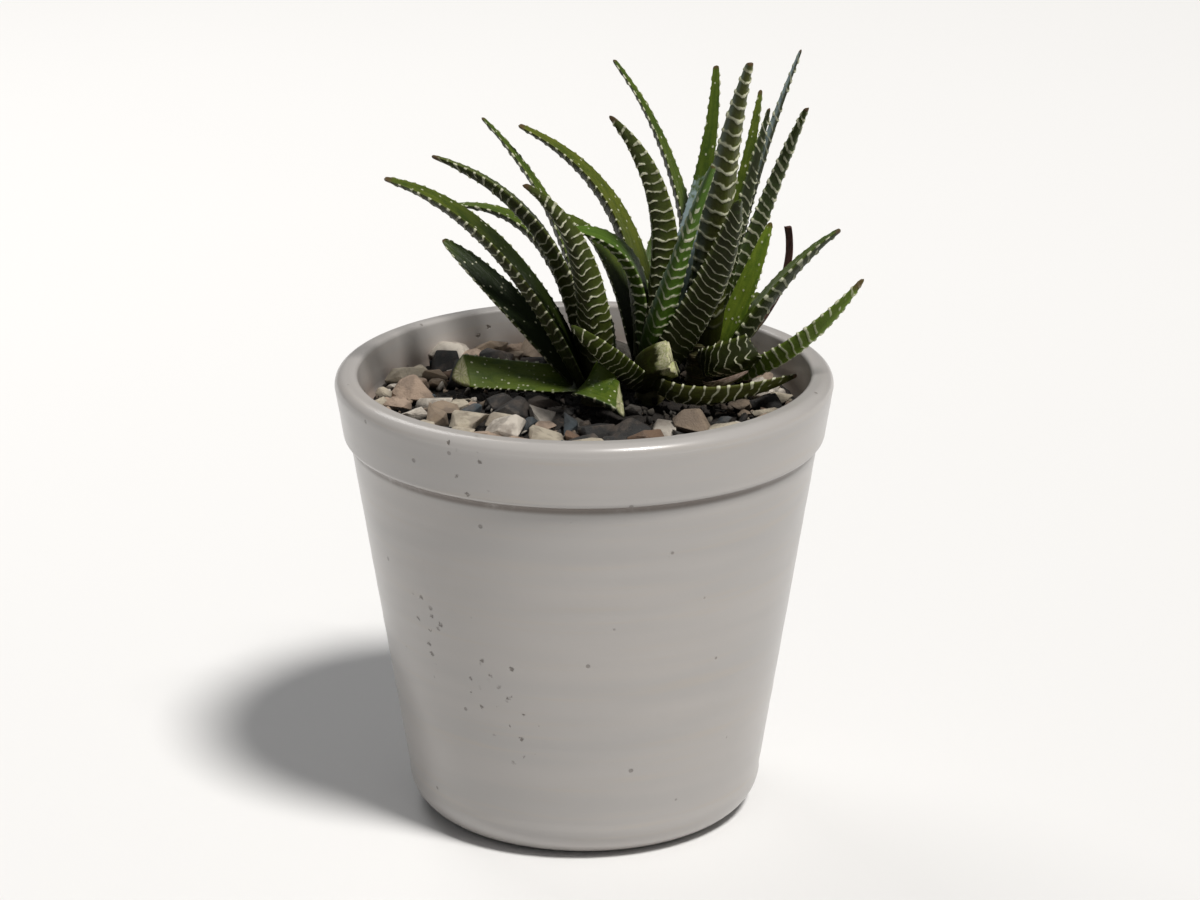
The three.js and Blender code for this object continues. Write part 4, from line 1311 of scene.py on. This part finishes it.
def pot_mesh(settings):
    """The turned pot, with its rim band, rounded edges and faint throwing rings."""
    side_foot = (POT["heel_radius"], POT["foot_round"])
    side_top = (POT["shoulder_radius"], BAND_FOOT - 0.4)
    neck = (POT["shoulder_radius"] + POT["neck"], BAND_FOOT)
    lip = arc(POT["band_foot_radius"] - POT["lip_round"], BAND_FOOT + POT["lip_round"],
              POT["lip_round"], POT["lip_start"], 0, 8)
    rim = arc(POT["rim_radius"] - POT["rim_round"], POT["height"] - POT["rim_round"],
              POT["rim_round"], 0, 90, 14)
    mouth = arc(POT["mouth_radius"] + POT["mouth_round"], POT["height"] - POT["mouth_round"],
                POT["mouth_round"], 90, 180, 8)
    step_top = BAND_FOOT + POT["step_top"]
    step = (inner_radius(step_top) + POT["step_depth"], step_top)
    step_foot = BAND_FOOT + POT["step_foot"]
    wall_top = (inner_radius(step_foot), step_foot)
    wall_low = POT["floor"] + POT["floor_slope"]
    wall_foot = (inner_radius(wall_low), wall_low)
    foot = arc(POT["heel_radius"] - POT["foot_round"], POT["foot_round"], POT["foot_round"],
               -90, 0, 16)
    profile = [(0, 0), *line((0, 0), foot[0], 3.0), *foot]
    profile += [*line(side_foot, side_top, POT["side_step"]), side_top, neck]
    profile += [*lip, *line(lip[-1], rim[0], 1.2), *rim, *mouth]
    profile += [*line(mouth[-1], step, 1.2), step, wall_top, *line(wall_top, wall_foot, 2.0)]
    profile += [wall_foot, (wall_foot[0] - POT["floor_slope"], POT["floor"]), (0, POT["floor"])]
    depth = settings.ring_depth / MM

    def rings(radius, angle, height):
        if height < 1 or radius < POT["heel_radius"] or height > POT["height"] - 2:
            return 0.0
        around = (math.cos(angle), math.sin(angle))
        fine = noise.noise((around[0] * 1.5, around[1] * 1.5, height * 0.30))
        broad = noise.noise((around[0] * 0.8, around[1] * 0.8, height * 0.11 + 40))
        return min(0.0, depth * (fine + 0.8 * broad) - depth)

    return turned("pot_glazed", profile, POT["segments"], rings)


def bed_mesh():
    """The plug of potting mix and grit between the stones, with an uneven top."""
    top = BED["top"]
    level = top - BED["sunk"]
    radius_top = inner_radius(top) - BED["clearance"]
    radius_low = inner_radius(BED_LOW) - BED["clearance"]
    segments = BED["segments"]
    hollows = BED["hollows"]
    corners = [(0, 0, BED_LOW), (0, 0, top)]
    rings = [(radius_low, BED_LOW), (radius_top, level)]
    for i in range(BED["rings"] - 1, 0, -1):
        rings.append((radius_top * i / BED["rings"], level))
    for ring, (radius, height) in enumerate(rings):
        for k in range(segments):
            angle = 2 * math.pi * k / segments
            x, y = radius * math.cos(angle), radius * math.sin(angle)
            lift = noise.fractal((x * hollows, y * hollows, 3.0), 0.8, 2.1, 4) * BED["unevenness"]
            corners.append((x, y, height + (lift if ring else 0)))
    return mesh_from("gravel_bed", corners, ring_faces(len(rings), segments))


def chip_shape(name, corners, chance, worn):
    """One angular chip, the hull of scattered points. A worn one has blunt edges and rough faces."""
    body = bmesh.new()
    for _ in range(corners):
        while True:
            point = Vector([chance.uniform(-1, 1) for _ in range(3)])
            if 0.55 < point.length < 1.0:
                break
        body.verts.new(point.normalized() * chance.uniform(0.82, 1.0))
    hull = bmesh.ops.convex_hull(body, input=body.verts)
    unused = {v for v in hull["geom_interior"] + hull["geom_unused"]
              if isinstance(v, bmesh.types.BMVert)}
    bmesh.ops.delete(body, geom=list(unused), context="VERTS")
    bmesh.ops.dissolve_limit(body, angle_limit=math.radians(20), verts=body.verts,
                             edges=body.edges)
    if worn:
        bmesh.ops.bevel(body, geom=list(body.edges), offset=WEAR["bevel"], segments=2,
                        profile=0.6, affect="EDGES", clamp_overlap=True)
        bmesh.ops.triangulate(body, faces=body.faces)
        bmesh.ops.subdivide_edges(body, edges=body.edges, cuts=WEAR["cuts"], use_grid_fill=True)
        for vertex in body.verts:
            place = vertex.co * WEAR["bump_size"] + Vector((corners, 0, 0))
            vertex.co += vertex.co.normalized() * noise.noise(place) * WEAR["bump_depth"]
    bmesh.ops.triangulate(body, faces=body.faces)
    bmesh.ops.recalc_face_normals(body, faces=body.faces)
    mesh = bpy.data.meshes.new(name)
    body.to_mesh(mesh)
    body.free()
    mesh.shade_smooth()
    return bpy.data.objects.new(name, mesh)


def lay_chips(name, chips, rule, worn, material):
    """A piece of the gravel: chip shapes made by a rule, set down by the tree of the chips."""
    chance = random.Random(rule["shape_seed"])
    shapes = bpy.data.collections.new(name)
    for i in range(rule["shapes"]):
        shapes.objects.link(chip_shape(f"{name}_{i}", rule["corners"] + i % 3, chance, worn))
    piece = new_object(name, point_cloud(name, chips))
    run_tree(piece, chips_tree(), {"Shapes": shapes, "Material": material})
    for shape in list(shapes.objects):
        bpy.data.meshes.remove(shape.data)
    bpy.data.collections.remove(shapes)
    settle(piece, "gravel", "gravel")


def leaf_places():
    """Places down the middle of the leaves, each with half the leaf's width."""
    return [(at, row["width"] / 2) for row in LEAVES for at in line_places(row, 12)]


def stone_places():
    """Where the stones lie, as place, half size and tint: the shown ones, then by chance."""
    chance = random.Random(STONE_RULE["seed"])
    leaves = leaf_places()
    places = [(Vector((x, y)), radius, tint) for x, y, radius, tint in SHOWN_STONES]
    for i in range(STONE_RULE["tries"]):
        share = i / STONE_RULE["tries"]
        radius = STONE_RULE["largest"] + (STONE_RULE["smallest"] - STONE_RULE["largest"]) * share
        limit = inner_radius(BED["top"]) - radius
        reach = limit * math.sqrt(chance.random())
        angle = 2 * math.pi * chance.random()
        tint = chance.choice(TINTS)
        at = Vector((reach * math.cos(angle), reach * math.sin(angle)))
        apart = all((at - other).length > STONE_RULE["closeness"] * (radius + size)
                    for other, size, _ in places)
        off_stems = all((at - Vector((stem["x"], stem["y"]))).length > radius + stem["radius"]
                        for stem in STEMS.values())
        high = BED["top"] + radius * STONE_RULE["flatness"]
        clear = all(place.z - half > high or (at - place.xy).length > radius + half
                    for place, half in leaves)
        if apart and off_stems and clear:
            places.append((at, radius, tint))
    return places


def chips_tree():
    """Sets chip shapes down on points, each turned and sized as its point says."""
    graph = GeometryGraph("Chips", {
        "Points": "geometry", "Shapes": "collection", "Material": "material",
    })
    inputs = {"Collection": graph.given("Shapes"), "Separate Children": True,
              "Reset Children": True}
    shapes = graph.add("GeometryNodeCollectionInfo", inputs=inputs)
    inputs = {
        "Points": graph.given("Points"), "Instance": shapes, "Pick Instance": True,
        "Instance Index": graph.field("kind", "INT"),
        "Rotation": graph.add("FunctionNodeEulerToRotation",
                              inputs={0: graph.field("turn", "FLOAT_VECTOR")}),
        "Scale": graph.field("size", "FLOAT_VECTOR"),
    }
    chips = graph.add("GeometryNodeInstanceOnPoints", inputs=inputs)
    return graph.end(chips, graph.given("Material"))


def point_cloud(name, chips):
    """A mesh of loose points that says how each chip lies: at, size, turn, kind and tint."""
    mesh = bpy.data.meshes.new(name)
    mesh.from_pydata([tuple(chip["at"] * MM) for chip in chips], [], [])
    kinds = {"size": "FLOAT_VECTOR", "turn": "FLOAT_VECTOR", "kind": "INT", "tint": "FLOAT"}
    for key, kind in kinds.items():
        kept = mesh.attributes.new(key, kind, "POINT")
        for item, chip in zip(kept.data, chips):
            if kind == "FLOAT_VECTOR":
                item.vector = chip[key]
            else:
                item.value = chip[key]
    return mesh


def stone_chips(chance):
    """How each stone lies: flat and a little tilted, with its middle over the bed."""
    tilt = STONE_RULE["tilt"]
    chips = []
    for at, radius, tint in stone_places():
        flat = STONE_RULE["flatness"] * chance.uniform(0.8, 1.1)
        z = BED["top"] + radius * flat * STONE_RULE["proud"]
        size = Vector((radius * chance.uniform(0.95, 1.15), radius * chance.uniform(0.8, 1.0),
                       radius * flat)) * MM
        turn = (chance.uniform(-tilt, tilt), chance.uniform(-tilt, tilt),
                chance.uniform(0, 2 * math.pi))
        chips.append({"at": Vector((at.x, at.y, z)), "size": size, "turn": turn,
                      "kind": chance.randrange(STONE_RULE["shapes"]), "tint": tint})
    return chips


def grain_chips(chance, count):
    """How each grain of the grit lies: anywhere on the bed, turned in any way."""
    chips = []
    for _ in range(count):
        radius = chance.uniform(GRIT["smallest"], GRIT["largest"])
        limit = inner_radius(BED["top"]) - radius - GRIT["margin"]
        reach = limit * math.sqrt(chance.random())
        angle = 2 * math.pi * chance.random()
        z = BED["top"] - GRIT["sunk"] + radius * 0.35 + chance.uniform(0, GRIT["heap"])
        at = Vector((reach * math.cos(angle), reach * math.sin(angle), z))
        chips.append({"at": at, "size": Vector((radius, radius * 0.8, radius * 0.6)) * MM,
                      "turn": [chance.uniform(0, 2 * math.pi) for _ in range(3)],
                      "kind": chance.randrange(GRIT["shapes"]), "tint": chance.choice(TINTS)})
    return chips


def make_gravel(settings):
    """The bed, the stones that show and the grit between them."""
    bed = new_object("gravel_bed", bed_mesh())
    bed.data.materials.append(soil_material(settings))
    settle(bed, "gravel", "gravel")
    chance = random.Random(STONE_RULE["seed"] + 1)
    stones = stone_material(settings)
    lay_chips("gravel_stones", stone_chips(chance), STONE_RULE, True, stones)
    lay_chips("gravel_grit", grain_chips(chance, settings.grit), GRIT, False, stones)


def stem_mesh(name, stem):
    """A short upright stem with a domed top and the scars of old leaves."""
    radius = stem["radius"]
    dome = arc(0, stem["top"] - radius, radius, 0, 90, 8)[:-1]
    foot = (radius, stem["foot"])
    profile = [(0, stem["foot"]), foot, *line(foot, dome[0], STEM_STEP), *dome, (0, stem["top"])]

    def scars(reach, angle, height):
        if reach < radius * 0.9:
            return 0.0
        return -SCAR_DEPTH - SCAR_DEPTH * math.sin(height * 2.1 + 2 * math.sin(angle))

    mesh = turned(name, profile, STEM_SEGMENTS, scars)
    for vertex in mesh.vertices:
        vertex.co.x += stem["x"] * MM
        vertex.co.y += stem["y"] * MM
    return mesh


# ---------------------------------------------------------------- operators


class HAWORTHIA_OT_pot(Operator):
    """Builds the glazed pot"""

    bl_idname = "haworthia.pot"
    bl_label = "Pot"

    def execute(self, context):
        settings = context.scene.haworthia_pot
        pot = new_object("pot_glazed", pot_mesh(settings))
        pot.data.materials.append(glaze_material(settings))
        settle(pot, "glazed_ceramic", "pot")
        return {"FINISHED"}


class HAWORTHIA_OT_soil(Operator):
    """Gives the potting mix its finish"""

    bl_idname = "haworthia.soil"
    bl_label = "Potting mix"

    def execute(self, context):
        soil = frame["nodes"]["soil"]
        soil.data.materials.clear()
        soil.data.materials.append(soil_material(context.scene.haworthia_gravel))
        return {"FINISHED"}


class HAWORTHIA_OT_gravel(Operator):
    """Lays the gravel: its bed, its stones and its grit"""

    bl_idname = "haworthia.gravel"
    bl_label = "Gravel"

    def execute(self, context):
        make_gravel(context.scene.haworthia_gravel)
        return {"FINISHED"}


class HAWORTHIA_OT_stems(Operator):
    """Builds the three short stems"""

    bl_idname = "haworthia.stems"
    bl_label = "Stems"

    def execute(self, context):
        material = stem_material()
        for key, stem in STEMS.items():
            name = f"{key}_stem_scarred"
            piece = new_object(name, stem_mesh(name, stem))
            piece.data.materials.append(material)
            settle(piece, "stem", f"{key}_stem")
        return {"FINISHED"}


class HAWORTHIA_OT_leaves(Operator):
    """Grows every leaf by one rule"""

    bl_idname = "haworthia.leaves"
    bl_label = "Leaves"

    def execute(self, context):
        tree = leaf_tree()
        for number, row in enumerate(LEAVES):
            make_leaf(tree, context.scene.haworthia_leaf, row, number)
        return {"FINISHED"}


class HAWORTHIA_OT_stage(Operator):
    """Sets up the floor, the lights and the camera"""

    bl_idname = "haworthia.stage"
    bl_label = "Stage"

    def execute(self, context):
        settings = context.scene.haworthia_stage
        make_floor(settings)
        make_lights(settings)
        make_camera(context.scene)
        context.scene.view_settings.view_transform = "Standard"
        return {"FINISHED"}


# ---------------------------------------------------------------- stage

CAMERA = {
    "lens": 120.0,  # on a 36 mm sensor
    "distance": 968.0,  # to the point looked at
    "elevation": 18.5,
    "look_x": 3.8,  # the point looked at
    "look_z": 89.8,
    "clip_end": 50.0,  # in metres
}

# The lights' places and the point that they look at, in metres, and their colours.
LIT_POINT = Vector((0, 0, 0.1))
KEY_PLACE, KEY_COLOUR = (0.42, -0.5, 1.25), (1.0, 0.975, 0.94)
RIM_PLACE, RIM_COLOUR = (-0.45, 0.7, 1.0), (1.0, 0.99, 0.97)
RIM_SIZE = 0.5
SKY_COLOUR = (0.97, 0.98, 1.0)
FLOOR_REACH = 12.0


def make_floor(settings):
    """A wide plain floor."""
    reach = FLOOR_REACH
    mesh = bpy.data.meshes.new("floor")
    mesh.from_pydata([(-reach, -reach, 0), (reach, -reach, 0), (reach, reach, 0),
                      (-reach, reach, 0)], [], [(0, 1, 2, 3)])
    mesh.materials.append(floor_material(settings))
    new_object("floor", mesh)


def new_light(name, kind, place, power, colour):
    """A light that looks at the middle of the plant."""
    data = bpy.data.lights.new(name, kind)
    data.energy = power
    data.color = colour
    lamp = bpy.data.objects.new(name, data)
    bpy.context.scene.collection.objects.link(lamp)
    lamp.location = place
    lamp.rotation_euler = (Vector(place) - LIT_POINT).to_track_quat("Z", "Y").to_euler()
    return data


def make_lights(settings):
    """A soft key light high at the front right, a panel at the back left and an even sky."""
    key = new_light("key", "SUN", KEY_PLACE, settings.key, KEY_COLOUR)
    key.angle = math.radians(settings.softness)
    panel = new_light("panel", "AREA", RIM_PLACE, settings.rim, RIM_COLOUR)
    panel.size = RIM_SIZE
    world = bpy.data.worlds.new("Studio")
    world.use_nodes = True
    world.node_tree.nodes.clear()
    graph = Graph(world.node_tree)
    inputs = {"Color": SKY_COLOUR, "Strength": settings.sky}
    sky = graph.add("ShaderNodeBackground", inputs=inputs)
    graph.add("ShaderNodeOutputWorld", inputs={"Surface": sky})
    bpy.context.scene.world = world


def make_camera(scene):
    """The camera at the height and distance of the view from the front."""
    data = bpy.data.cameras.new("camera")
    data.lens = CAMERA["lens"]
    data.clip_end = CAMERA["clip_end"]
    camera = bpy.data.objects.new("camera", data)
    scene.collection.objects.link(camera)
    tilt = math.radians(CAMERA["elevation"])
    distance = CAMERA["distance"]
    camera.location = Vector((CAMERA["look_x"], -distance * math.cos(tilt),
                              CAMERA["look_z"] + distance * math.sin(tilt))) * MM
    camera.rotation_euler = (math.radians(90) - tilt, 0, 0)
    scene.camera = camera


# ---------------------------------------------------------------- panel and registration

OPERATORS = (
    HAWORTHIA_OT_pot, HAWORTHIA_OT_soil, HAWORTHIA_OT_gravel, HAWORTHIA_OT_stems,
    HAWORTHIA_OT_leaves, HAWORTHIA_OT_stage,
)
SETTINGS = {
    "haworthia_pot": PotSettings, "haworthia_gravel": GravelSettings,
    "haworthia_leaf": LeafSettings, "haworthia_stage": StageSettings,
}


class HAWORTHIA_PT_panel(Panel):
    """Lists the pieces and their settings"""

    bl_idname = "HAWORTHIA_PT_panel"
    bl_label = "Potted haworthia"
    bl_space_type = "VIEW_3D"
    bl_region_type = "UI"
    bl_category = "Haworthia"

    def draw(self, context):
        for operator in OPERATORS:
            self.layout.operator(operator.bl_idname)
        for key, group in SETTINGS.items():
            box = self.layout.box()
            box.label(text=group.__name__)
            for name in group.__annotations__:
                box.prop(getattr(context.scene, key), name)


def register():
    for group in SETTINGS.values():
        bpy.utils.register_class(group)
    for operator in (*OPERATORS, HAWORTHIA_PT_panel):
        bpy.utils.register_class(operator)
    for key, group in SETTINGS.items():
        setattr(bpy.types.Scene, key, PointerProperty(type=group))


def unregister():
    for key in SETTINGS:
        delattr(bpy.types.Scene, key)
    for operator in (HAWORTHIA_PT_panel, *reversed(OPERATORS)):
        bpy.utils.unregister_class(operator)
    for group in reversed(SETTINGS.values()):
        bpy.utils.unregister_class(group)


def main():
    register()
    bpy.ops.haworthia.pot()
    bpy.ops.haworthia.soil()
    bpy.ops.haworthia.gravel()
    bpy.ops.haworthia.stems()
    bpy.ops.haworthia.leaves()
    bpy.ops.haworthia.stage()


if __name__ == "__main__":
    main()
